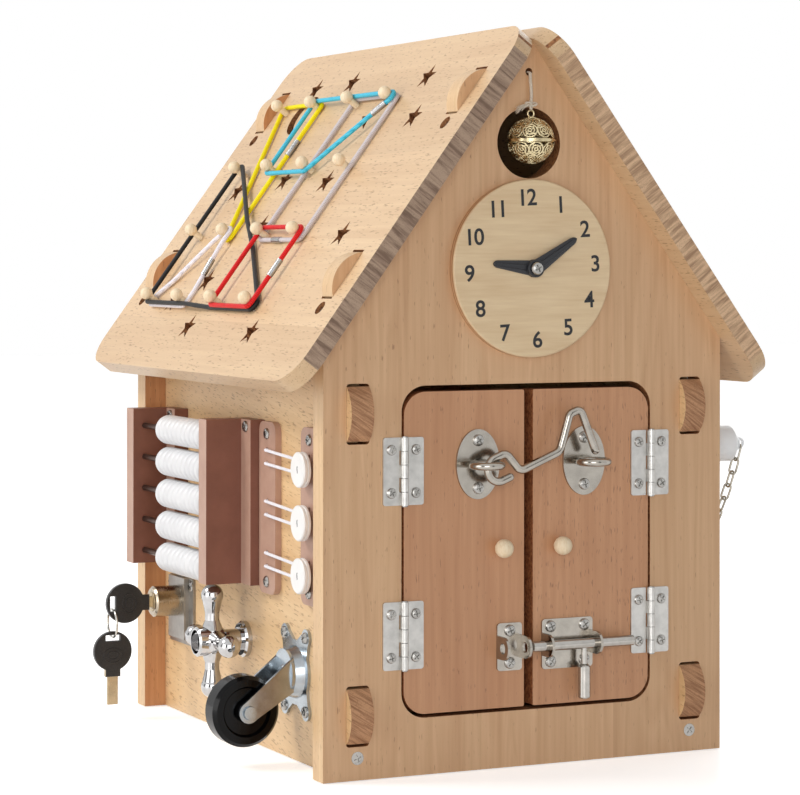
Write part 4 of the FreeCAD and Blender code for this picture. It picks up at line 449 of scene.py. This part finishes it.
low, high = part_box("clock_dial")
dial_x, dial_z, dial_front = (low.x + high.x) / 2, (low.z + high.z) / 2, low.y
f = Finish("numeral_ink", Roughness=0.5)
worn = f.noise(f.place, (0.0012, 0.0012, 0.0012), 3.0, 0.6)
f.shade(Base_Color=f.ramp(worn, [(0.3, tint(20, 20, 24)), (0.7, tint(38, 38, 42))]))
points, faces = [], []
numeral_height, numeral_ring, ink = 0.0097, 0.0412, 0.00004
for hour in range(1, 13):
    word = bpy.data.curves.new("numeral", "FONT")
    word.body, word.size, word.offset, word.extrude = str(hour), 0.0134, 0.00022, 0.00003
    word.align_x, word.align_y, word.space_character = "CENTER", "CENTER", 0.92
    written = bpy.data.objects.new("numeral", word)
    shape = bpy.data.meshes.new_from_object(written)
    flat = np.array([v.co for v in shape.vertices])
    flat[:, :2] -= (flat[:, :2].min(0) + flat[:, :2].max(0)) / 2
    flat[:, 1] *= numeral_height / np.ptp(flat[:, 1])
    around, lean = math.radians(90 - 30 * hour + 4), math.radians(3)
    x = flat[:, 0] * math.cos(lean) - flat[:, 1] * math.sin(lean) + dial_x + numeral_ring * math.cos(around)
    z = flat[:, 0] * math.sin(lean) + flat[:, 1] * math.cos(lean) + dial_z + numeral_ring * math.sin(around)
    faces += [[len(points) + i for i in polygon.vertices] for polygon in shape.polygons]
    points += np.column_stack([x, dial_front - ink - flat[:, 2], z]).tolist()
    bpy.data.objects.remove(written)
    bpy.data.meshes.remove(shape)
piece("numerals", points, faces, [f.material], "house")

f = Finish("moulded_black", Roughness=0.38)
orange_peel = f.noise(f.place, (0.0006, 0.0006, 0.0006), 2.0, 0.5)
f.shade(Base_Color=f.ramp(orange_peel, [(0.3, tint(30, 31, 34)), (0.7, tint(46, 47, 52))]))
f.bump(orange_peel, 0.00002, 0.5)
moulded_black = f.material


def skin(rows, columns, closed=False):
    """Quads over points that are given row by row. Each row is a ring; closed joins the last row to the
    first as well."""
    return [[a * columns + b, a * columns + (b + 1) % columns,
             (a + 1) % rows * columns + (b + 1) % columns, (a + 1) % rows * columns + b]
            for a in range(rows if closed else rows - 1) for b in range(columns)]


def clock_hand(name, node, length, angle, body):
    """A tapering bar: at share t of its length the half width is hub + (tip - hub) * t, the section a
    trapezium with a raised flat middle. The last tenth rounds off as a quarter circle, the width as
    sqrt(1 - u * u) at share u of that tenth. A low ring round the screw closes the hub."""
    low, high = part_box(node)
    back, tall = high.y, high.y - low.y
    section = np.array([(-1, 0), (-1, 0.42), (-0.86, 0.60), (-0.42, 0.70), (-0.34, 1.0),
                        (0.34, 1.0), (0.42, 0.70), (0.86, 0.60), (1, 0.42), (1, 0)])
    hub, tip = 0.0046, 0.0019
    t = np.concatenate([np.linspace(0.0, 0.90, 14), 0.90 + 0.10 * np.sin(np.linspace(0.15, math.pi / 2, 8))])
    fall = 1 - ((t - 0.90) / 0.10) ** 2
    wide = hub + (tip - hub) * t
    wide = np.where(t > 0.90, wide * np.sqrt(np.clip(fall, 0.02, 1)), wide)
    tallness = np.where(t > 0.9, 0.75 + 0.25 * np.sqrt(np.clip(fall, 0.0, 1)), 1.0)
    along = np.repeat(t * length, len(section))
    side = (wide[:, None] * section[None, :, 0]).ravel()
    up = (tall * 0.96 * tallness[:, None] * section[None, :, 1]).ravel()
    a = math.radians(angle)
    points = np.column_stack([dial_x + along * math.cos(a) - side * math.sin(a), back - up,
                              dial_z + along * math.sin(a) + side * math.cos(a)]).tolist()
    n, m = len(t), len(section)
    faces = skin(n, m) + [list(range(m))[::-1], [(n - 1) * m + j for j in range(m)]]
    rings = [(0.0052, 0), (0.0052, 0.8), (0.0049, 1.0), (0.0041, 1.0), (0.0039, 0.8), (0.0018, 0.8),
             (0.0018, 0)]
    turns, first = 40, len(points)
    for i in range(turns):
        c, s = math.cos(2 * math.pi * i / turns), math.sin(2 * math.pi * i / turns)
        points += [[dial_x + r * c, back - h * tall, dial_z + r * s] for r, h in rings]
    faces += [[first + i for i in face] for face in skin(turns, len(rings), True)]
    made = piece(name, points, faces, [moulded_black], body, 30.0, [node])
    work = bmesh.new()
    work.from_mesh(made.data)
    bmesh.ops.recalc_face_normals(work, faces=work.faces)
    work.to_mesh(made.data)
    work.free()
    return made


clock_hand("hour_hand_moulded", "hour_hand", 0.0264, 174.0, "hour")
clock_hand("minute_hand_moulded", "minute_hand", 0.0319, 33.0, "minute")


# The hanging ball
# Two pierced half shells of pale gilt metal closed on a flat seam, hung by a small ring from an
# undyed twisted string that is knotted and frays out beside the ball.

def on_sphere(polar, around):
    """Unit vectors from the angle off the pole and the angle round it: (sin p cos a, sin p sin a, cos p)."""
    return np.stack([np.sin(polar) * np.cos(around), np.sin(polar) * np.sin(around),
                     np.cos(polar) * np.ones_like(around)], -1)


low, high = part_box("bell_ball")
ball_radius, seam_radius = 0.0133, 0.0138
ball = Vector(((low.x + high.x) / 2, (low.y + high.y) / 2, low.z + seam_radius))
rows, turns = 132, 264
polar = np.linspace(0.012, math.pi - 0.012, rows + 1)
around = np.linspace(0, 2 * math.pi, turns, endpoint=False)
cell_polar, cell_around = np.meshgrid((polar[:-1] + polar[1:]) / 2, around + math.pi / turns, indexing="ij")
cells = on_sphere(cell_polar, cell_around)
# Each rosette is rings at its radii and bent spokes between the outer and the inner one, in degrees:
# the latitude, how many stand round it, where the first one stands, the radii.
rosettes = ((24, 9, 0, (17.5, 10.5, 4.0)), (52, 7, 20, (15.5, 9.0, 3.5)), (90, 1, 0, (15, 8)))
kept = np.abs(np.degrees(cell_polar) - 90) < 4.5
for cap in (1, -1):
    for latitude, number, start, radii in rosettes:
        for i in range(number):
            a, b = math.radians(start + 360 * i / number + (0 if cap > 0 else 17)), math.radians(latitude)
            middle = np.array([math.cos(b) * math.cos(a), math.cos(b) * math.sin(a), cap * math.sin(b)])
            distance = np.degrees(np.arccos(np.clip(cells @ middle, -1, 1)))
            for reach in radii:
                kept |= np.abs(distance - reach) < (1.7 if reach > 5 else 1.5)
            east = np.array([-math.sin(a), math.cos(a), 0.0])
            north = np.cross(middle, east)
            swirl = np.degrees(np.arctan2(cells @ north, cells @ east)) / 22.0 - distance / 6.0 * cap
            spoke = np.abs(swirl - np.round(swirl / 4.09) * 4.09) < 0.42
            kept |= spoke & (distance > radii[-1]) & (distance < radii[0])
grid = on_sphere(polar[:, None], around[None, :]).reshape(-1, 3) * ball_radius + np.array(ball)
i, j = np.nonzero(kept)
corners = np.column_stack([i * turns + j, (i + 1) * turns + j,
                           (i + 1) * turns + (j + 1) % turns, i * turns + (j + 1) % turns])
used, numbers = np.unique(corners, return_inverse=True)
gilt = metal("pale_gilt", tint(216, 200, 160), 0.22, (0.0006, 0.0006, 0.0006), 0.0001, 0.1)
shell = piece("pierced_ball", grid[used].tolist(), numbers.reshape(-1, 4).tolist(), [gilt],
              "bell", 60.0, ["bell_ball"])
wall = shell.modifiers.new("sheet", "SOLIDIFY")
wall.thickness, wall.offset = 0.0005, 1.0


def tube(path, radius, sides=10, closed=False):
    """A round tube along path: at each point a circle of radius radius (one number or one for each point)
    stands square to the line between the two neighbouring points, its start direction carried on from the
    point before."""
    path = np.asarray(path, float)
    count = len(path)
    radius = np.broadcast_to(np.asarray(radius, float), (count,))
    ahead = np.roll(path, -1, 0) - np.roll(path, 1, 0) if closed else np.gradient(path, axis=0)
    ahead /= np.linalg.norm(ahead, axis=1)[:, None]
    side = np.zeros_like(path)
    guide = np.array([0.0, 0.0, 1.0]) if abs(ahead[0][2]) < 0.9 else np.array([1.0, 0.0, 0.0])
    for k in range(count):
        guide = guide - ahead[k] * (guide @ ahead[k])
        guide /= np.linalg.norm(guide)
        side[k] = guide
    other = np.cross(ahead, side)
    angle = np.linspace(0, 2 * math.pi, sides, endpoint=False)
    cosine, sine = np.cos(angle)[None, :, None], np.sin(angle)[None, :, None]
    rings = path[:, None] + radius[:, None, None] * (side[:, None] * cosine + other[:, None] * sine)
    faces = skin(count, sides, closed)
    if not closed:
        faces += [list(range(sides))[::-1], [(count - 1) * sides + b for b in range(sides)]]
    return rings.reshape(-1, 3).tolist(), faces


def together(parts):
    """One list of points and one of faces from several."""
    points, faces = [], []
    for some, around in parts:
        faces += [[len(points) + i for i in face] for face in around]
        points += some
    return points, faces


angle = np.linspace(0, 2 * math.pi, 64, endpoint=False)
flange = [(ball_radius, -0.0003), (0.0145, -0.0003), (0.0146, 0.0), (0.0145, 0.0003), (ball_radius, 0.0003)]
points = [[ball.x + r * math.cos(a), ball.y + r * math.sin(a), ball.z + h] for a in angle for r, h in flange]
faces = [face[:1] + face[:0:-1] for face in skin(64, len(flange), True)]
eye_radius, loop = 0.0020, high.z - 0.0026
eye = tube([[ball.x + eye_radius * math.cos(a), ball.y, loop + eye_radius * math.sin(a)] for a in angle],
           0.0006, 10, True)
points, faces = together([(points, faces), eye])
piece("ball_seam_and_ring", points, faces, [gilt], "bell", 50.0)

low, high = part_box("bell_string")
string_y, knot = ball.y, low.z + 0.0022
steps, bend = 90, 0.965
run = np.linspace(0, 1, steps)
middle = np.column_stack([0.0004 * np.sin(run * 5), np.full(steps, string_y),
                          knot + (high.z - 0.0010 - knot) * run])
turn = run > bend
middle[turn, 1] += (run[turn] - bend) / 0.035 * 0.0028
parts = []
for strand in range(3):
    twist = run * 2 * math.pi * 7 + strand * 2 * math.pi / 3
    off_axis = 0.00046 * np.column_stack([np.cos(twist), np.sin(twist), np.zeros(steps)])
    parts.append(tube(middle + off_axis, 0.00052, 8))
# the knot: a trefoil
a = np.linspace(0, 2 * math.pi, 120, endpoint=False)
parts.append(tube(np.column_stack([0.0016 * (np.sin(a) + 1.3 * np.sin(2 * a)),
                                   string_y - 0.0004 + 0.0011 * (-np.sin(3 * a)),
                                   knot + 0.0011 * (np.cos(a) - 1.3 * np.cos(2 * a))]), 0.00062, 8, True))
chance = np.random.default_rng(4)
for fibre in range(54):
    lean = chance.uniform(-0.5, 0.5)
    droop = chance.uniform(0.1, 0.9)
    long = chance.uniform(0.004, 0.0095)
    s = np.linspace(0, 1, 9)
    wave = chance.uniform(-1, 1, 2)
    x = -0.001 - long * s + 0.0005 * wave[0] * np.sin(4 * s)
    y = string_y - 0.0006 + 0.0022 * lean * s
    z = knot + 0.0006 - droop * long * 0.55 * s * s - 0.0016 * s + 0.0007 * wave[1] * np.sin(3 * s)
    parts.append(tube(np.column_stack([x, y, z]), 0.00015 * (1 - 0.6 * s), 5))
f = Finish("undyed_string", Roughness=0.85, Sheen_Weight=0.3)
fluff = f.noise(f.place, (0.0004, 0.0004, 0.0012), 3.0, 0.6)
f.shade(Base_Color=f.ramp(fluff, [(0.3, tint(206, 192, 172)), (0.7, tint(236, 226, 210))]))
f.bump(fluff, 0.0001, 0.6)
points, faces = together(parts)
piece("ball_string", points, faces, [f.material], "bell", 60.0, ["bell_string"])


# The bead frame
# Two angle brackets of board with brown satin paint, their faces turned to the left given a paler copy
# of it as painted sheen; five dark steel rods carry white ribbed beads.

def paint_coat(name, pale, deep, rough=0.45, mottle=0.02):
    """Brushed satin paint: a faint cloud in the colour, a fine orange-peel in the surface."""
    f = Finish(name, Roughness=rough, Coat_Weight=0.1, Coat_Roughness=0.35)
    cloud = f.noise(f.place, (mottle, mottle, mottle), 4.0, 0.6)
    peel = f.noise(f.place, (0.0009, 0.0009, 0.0009), 2.0, 0.5)
    f.shade(Base_Color=f.ramp(cloud, [(0.3, deep), (0.7, pale)]),
            Roughness=f.math("MULTIPLY_ADD", peel, 0.12, rough - 0.06))
    f.bump(peel, 0.00005, 0.5)
    return f.material


brown_face = paint_coat("brown_paint_face", tint(132, 85, 69), tint(118, 74, 59))
# a paler copy of the brown paint: painted sheen, for the faces that turn to the left and for the button
# strips
brown_painted_sheen = paint_coat("brown_paint_with_painted_sheen", tint(188, 152, 133), tint(172, 134, 116))
brackets = eased("abacus_brackets", "bead_frame_brackets", [brown_face, brown_painted_sheen],
                 "house", 0.0011)
middle, normal = face_data(brackets)
# faces turned towards -x take the paler paint: painted sheen of the lamps on that side
paint(brackets, normal[:, 0] < -0.5, 1)
finish_node("abacus_rods", metal("dark_rod", tint(96, 78, 70), 0.35))
white_bead = paint_coat("white_bead_paint", tint(229, 229, 230), tint(218, 218, 220), 0.35)
for row in range(1, 6):
    finish_node("bead_row_%d" % row, white_bead)


# The button strips
# Two thin strips in the paler brown paint that carries painted sheen, one with three white two-part
# buttons, the other with three loops of white elastic that hook over them.

# the strips take the paler brown all over: painted sheen
eased("button_strips", "button_strips_painted", [brown_painted_sheen], "house", 0.0009)
button_white = paint_coat("white_button_paint", tint(243, 242, 240), tint(233, 232, 230), 0.4)
eased("buttons", "buttons_painted", [button_white], "house", 0.0)
finish_node("button_loops", elastic("loop_elastic", tint(246, 245, 250), tint(222, 221, 230)))
low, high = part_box("buttons")
button_y, from_middle, hole_radius = -0.108, 0.0017, 0.0005
thread = []
for button_z in (0.1112, 0.1415, 0.1722):
    for dz in (from_middle, -from_middle):
        # a flat grey disc on the button face at each of the two holes: painted shade of the hole, in the
        # grey of the thread that goes through it
        hole_shade_disc = [[low.x - 0.00003, button_y + hole_radius * math.cos(t),
                 button_z + dz + hole_radius * math.sin(t)]
                for t in np.linspace(0, 2 * math.pi, 16, endpoint=False)]
        thread.append((hole_shade_disc, [list(range(16))[::-1]]))
    s = np.linspace(-1, 1, 9)
    stitch = [low.x + 0.00005 - 0.0002 * (1 - s * s), button_y + 0.0003 * s, button_z + from_middle * s]
    thread.append(tube(np.column_stack(stitch), 0.00028, 6))
points, faces = together(thread)
thread_grey = paint_coat("thread_grey", tint(150, 148, 150), tint(110, 108, 112), 0.7)
piece("button_stitches", points, faces, [thread_grey], "house", 50.0)


# The drawer lock and its keys
# A nickel-plated cylinder on a zinc lock case with a rising bolt. Each key is a steel blade in a
# round black plastic head with a slot for the wire ring and two plain ovals raised on each face.

case_metal = metal("lock_zinc", tint(162, 158, 152), 0.36, (0.001, 0.001, 0.001), 0.00006)
nickel = metal("lock_nickel", tint(178, 165, 146), 0.25, (0.0006, 0.0006, 0.006), 0.00003)
case = eased("lock_case", "lock_case_plated", [case_metal, nickel], "house", 0.0004)
middle, normal = face_data(case)
cylinder_x = -0.1212
paint(case, middle[:, 0] < cylinder_x, 1)
finish_node("lock_bolt", case_metal)
finish_node("key_ring", metal("ring_wire", tint(206, 204, 198), 0.18))
key_steel = metal("key_steel", tint(190, 172, 142), 0.3, (0.0008, 0.0008, 0.004), 0.00004)
f = Finish("key_head_plastic", Roughness=0.34)
peel = f.noise(f.place, (0.0008, 0.0008, 0.0008), 2.0, 0.5)
f.shade(Base_Color=f.ramp(peel, [(0.3, tint(28, 27, 28)), (0.7, tint(46, 45, 46))]))
f.bump(peel, 0.00003, 0.6)
key_plastic = f.material
head_radius = 0.01275
t = np.linspace(0, 2 * math.pi, 48, endpoint=False)
for node, name, body, head_x, head_z, lying in (
        ("lock_key", "key_in_lock", "key", -0.1559, 0.0728, True),
        ("spare_key", "hanging_key", "spare", -0.1643, 0.04276, False)):
    made = eased(node, name, [key_steel, key_plastic], body, 0.00035)
    middle, normal = face_data(made)
    paint(made, np.hypot(middle[:, 0] - head_x, middle[:, 2] - head_z) < head_radius, 1)
    low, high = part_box("spare_key")
    ovals = []
    for face_y in (low.y, high.y):
        for scale in (1.0, 0.55):
            long, wide = 0.0062 * scale, 0.0046 * scale
            dx, dz = (wide, long) if lying else (long, wide)
            shift_x, shift_z = (0.0026, 0) if lying else (0, -0.0026)
            oval = [head_x + shift_x + dx * np.cos(t), np.full(48, face_y),
                    head_z + shift_z + dz * np.sin(t)]
            ovals.append(tube(np.column_stack(oval), 0.00034, 6, True))
    points, faces = together(ovals)
    piece(name + "_relief", points, faces, [key_plastic], body, 50.0)


# The tap
# A cast and chromed four-armed handle that turns on a fixed stem.

chrome = metal("bright_chrome", tint(198, 197, 197), 0.05, (0.01, 0.01, 0.01), 0.000004, 0.02)
finish_node("tap_handle", chrome)
finish_node("tap_stem", chrome)


# The swivel caster
# Zinc-plated pressed fork and base plate with a ball race between them, and a glossy black
# moulded wheel on a riveted axle.

zinc = metal("zinc_plate", tint(178, 186, 192), 0.22, (0.012, 0.012, 0.012), 0.00003, 0.10)
for node in ("caster_plate", "caster_fork", "caster_axle"):
    finish_node(node, zinc)
f = Finish("glossy_black_wheel", Roughness=0.2, Coat_Weight=0.04, Coat_Roughness=0.1,
           Specular_IOR_Level=0.16)
scuff = f.noise(f.place, (0.004, 0.004, 0.004), 4.0, 0.65)
f.shade(Base_Color=f.ramp(scuff, [(0.4, tint(8, 8, 9)), (0.75, tint(18, 18, 20))]),
        Roughness=f.math("MULTIPLY_ADD", scuff, 0.2, 0.07))
f.bump(scuff, 0.00003, 0.4)
finish_node("caster_wheel", f.material)


# The stopper, its socket and the chain
# Smooth white plastic, the stopper a little translucent, on a fine plated chain that hangs from a
# screw in the wall and follows the stopper when it is pulled out.

f = Finish("white_moulding", Roughness=0.32, Subsurface_Weight=0.15,
           Subsurface_Radius=(0.003, 0.003, 0.003), Subsurface_Scale=1.0)
tone = f.noise(f.place, (0.01, 0.01, 0.01), 3.0, 0.5)
f.shade(Base_Color=f.ramp(tone, [(0.3, tint(244, 247, 250)), (0.7, tint(250, 252, 254))]))
f.bump(tone, 0.00005, 0.3)
finish_node("plug_socket", f.material)
finish_node("stopper_plug", f.material)
chain_plate = metal("chain_plate", tint(176, 170, 158), 0.24, (0.0008, 0.0008, 0.0008), 0.00003)
chain = eased("plug_chain", "stopper_chain", [chain_plate], None, 0.0, 60.0, False)
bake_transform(chain)


# Floor, light and camera
# A white sweep under plain soft lamps: a large one high at the rear left throws the shadows
# towards the front, weaker ones beside the camera, at the left and at the right rear fill them.

def quad(name, corners, material, shows=True):
    """A flat sheet of the stage. One that doesn't show is met by mirror rays only."""
    mesh = bpy.data.meshes.new(name)
    mesh.from_pydata(corners, [], [(0, 1, 2, 3)])
    mesh.materials.append(material)
    made = bpy.data.objects.new(name, mesh)
    bpy.context.scene.collection.objects.link(made)
    if not shows:
        made.visible_camera = False
        made.visible_diffuse = False
        made.visible_shadow = False
    return made


f = Finish("white_sweep", Base_Color=(0.86, 0.86, 0.86, 1), Roughness=0.35, Specular_IOR_Level=0.2,
           Emission_Color=(1, 1, 1, 1))
path = f.node("ShaderNodeLightPath").outputs
seen = f.math("MAXIMUM", path["Is Camera Ray"],
              f.math("MAXIMUM", path["Is Glossy Ray"], path["Is Transmission Ray"]))
f.shade(Emission_Strength=f.math("MULTIPLY", seen, 0.54))
far, below = 6, -0.0004
quad("floor", [(-far, -far, below), (far, -far, below), (far, far, below), (-far, far, below)], f.material)
f = Finish("dark_flag", Base_Color=(0.01, 0.01, 0.01, 1), Roughness=0.9)
for name, (x, y), (far_x, far_y), foot, top in (("flag_left", (-2.2, -1.5), (-2.0, -2.1), -0.2, 1.4),
                                                ("flag_front", (0.35, -2.6), (0.85, -2.5), -0.2, 1.6),
                                                ("flag_rear", (-2.0, 0.9), (-2.0, 0.5), 0.0, 0.7)):
    quad(name, [(x, y, foot), (far_x, far_y, foot), (far_x, far_y, top), (x, y, top)], f.material, False)

world = bpy.data.worlds.new("studio")
bpy.context.scene.world = world
world.use_nodes = True
tree = world.node_tree
tree.nodes.clear()
path = tree.nodes.new("ShaderNodeLightPath").outputs
seen = path["Is Camera Ray"]
for ray in ("Is Glossy Ray", "Is Transmission Ray"):
    either = tree.nodes.new("ShaderNodeMath")
    either.operation = "MAXIMUM"
    tree.links.new(path[ray], either.inputs[0])
    tree.links.new(seen, either.inputs[1])
    seen = either.outputs[0]
strength = tree.nodes.new("ShaderNodeMapRange")
strength.inputs["To Min"].default_value = 0.32
strength.inputs["To Max"].default_value = 1.0
tree.links.new(seen, strength.inputs["Value"])
sky = tree.nodes.new("ShaderNodeBackground")
sky.inputs["Color"].default_value = (1, 1, 1, 1)
tree.links.new(strength.outputs[0], sky.inputs["Strength"])
out = tree.nodes.new("ShaderNodeOutputWorld")
tree.links.new(sky.outputs[0], out.inputs["Surface"])

lit_point = Vector((0, 0, 0.2))
for name, place, size, power, tone in (("key", (-1.5, 0.55, 1.5), 0.6, 20.5, (1.0, 0.98, 0.96)),
                                       ("fill", (-0.9, -1.9, 0.4), 1.0, 11.2, (1.0, 1.0, 1.0)),
                                       ("side", (-2.1, -0.5, 0.5), 1.0, 9.5, (1.0, 0.99, 0.98)),
                                       ("rear", (1.7, 0.9, 1.0), 1.2, 11.0, (1.0, 1.0, 1.0))):
    lamp = bpy.data.lights.new(name, "AREA")
    lamp.size, lamp.energy, lamp.color = size, power, tone
    made = bpy.data.objects.new(name, lamp)
    bpy.context.scene.collection.objects.link(made)
    made.location = place
    made.rotation_euler = (lit_point - Vector(place)).to_track_quat("-Z", "Y").to_euler()

lens = bpy.data.cameras.new("camera")
lens.sensor_width, lens.lens, lens.shift_y = 36.0, 123.06, -0.184
camera = bpy.data.objects.new("camera", lens)
bpy.context.scene.collection.objects.link(camera)
camera.location = (-0.74796, -1.54975, 0.29665)
camera.rotation_euler = Euler((math.pi / 2 + 0.001, -0.001, -0.444))
bpy.context.scene.camera = camera
bpy.context.scene.view_settings.view_transform = "Standard"
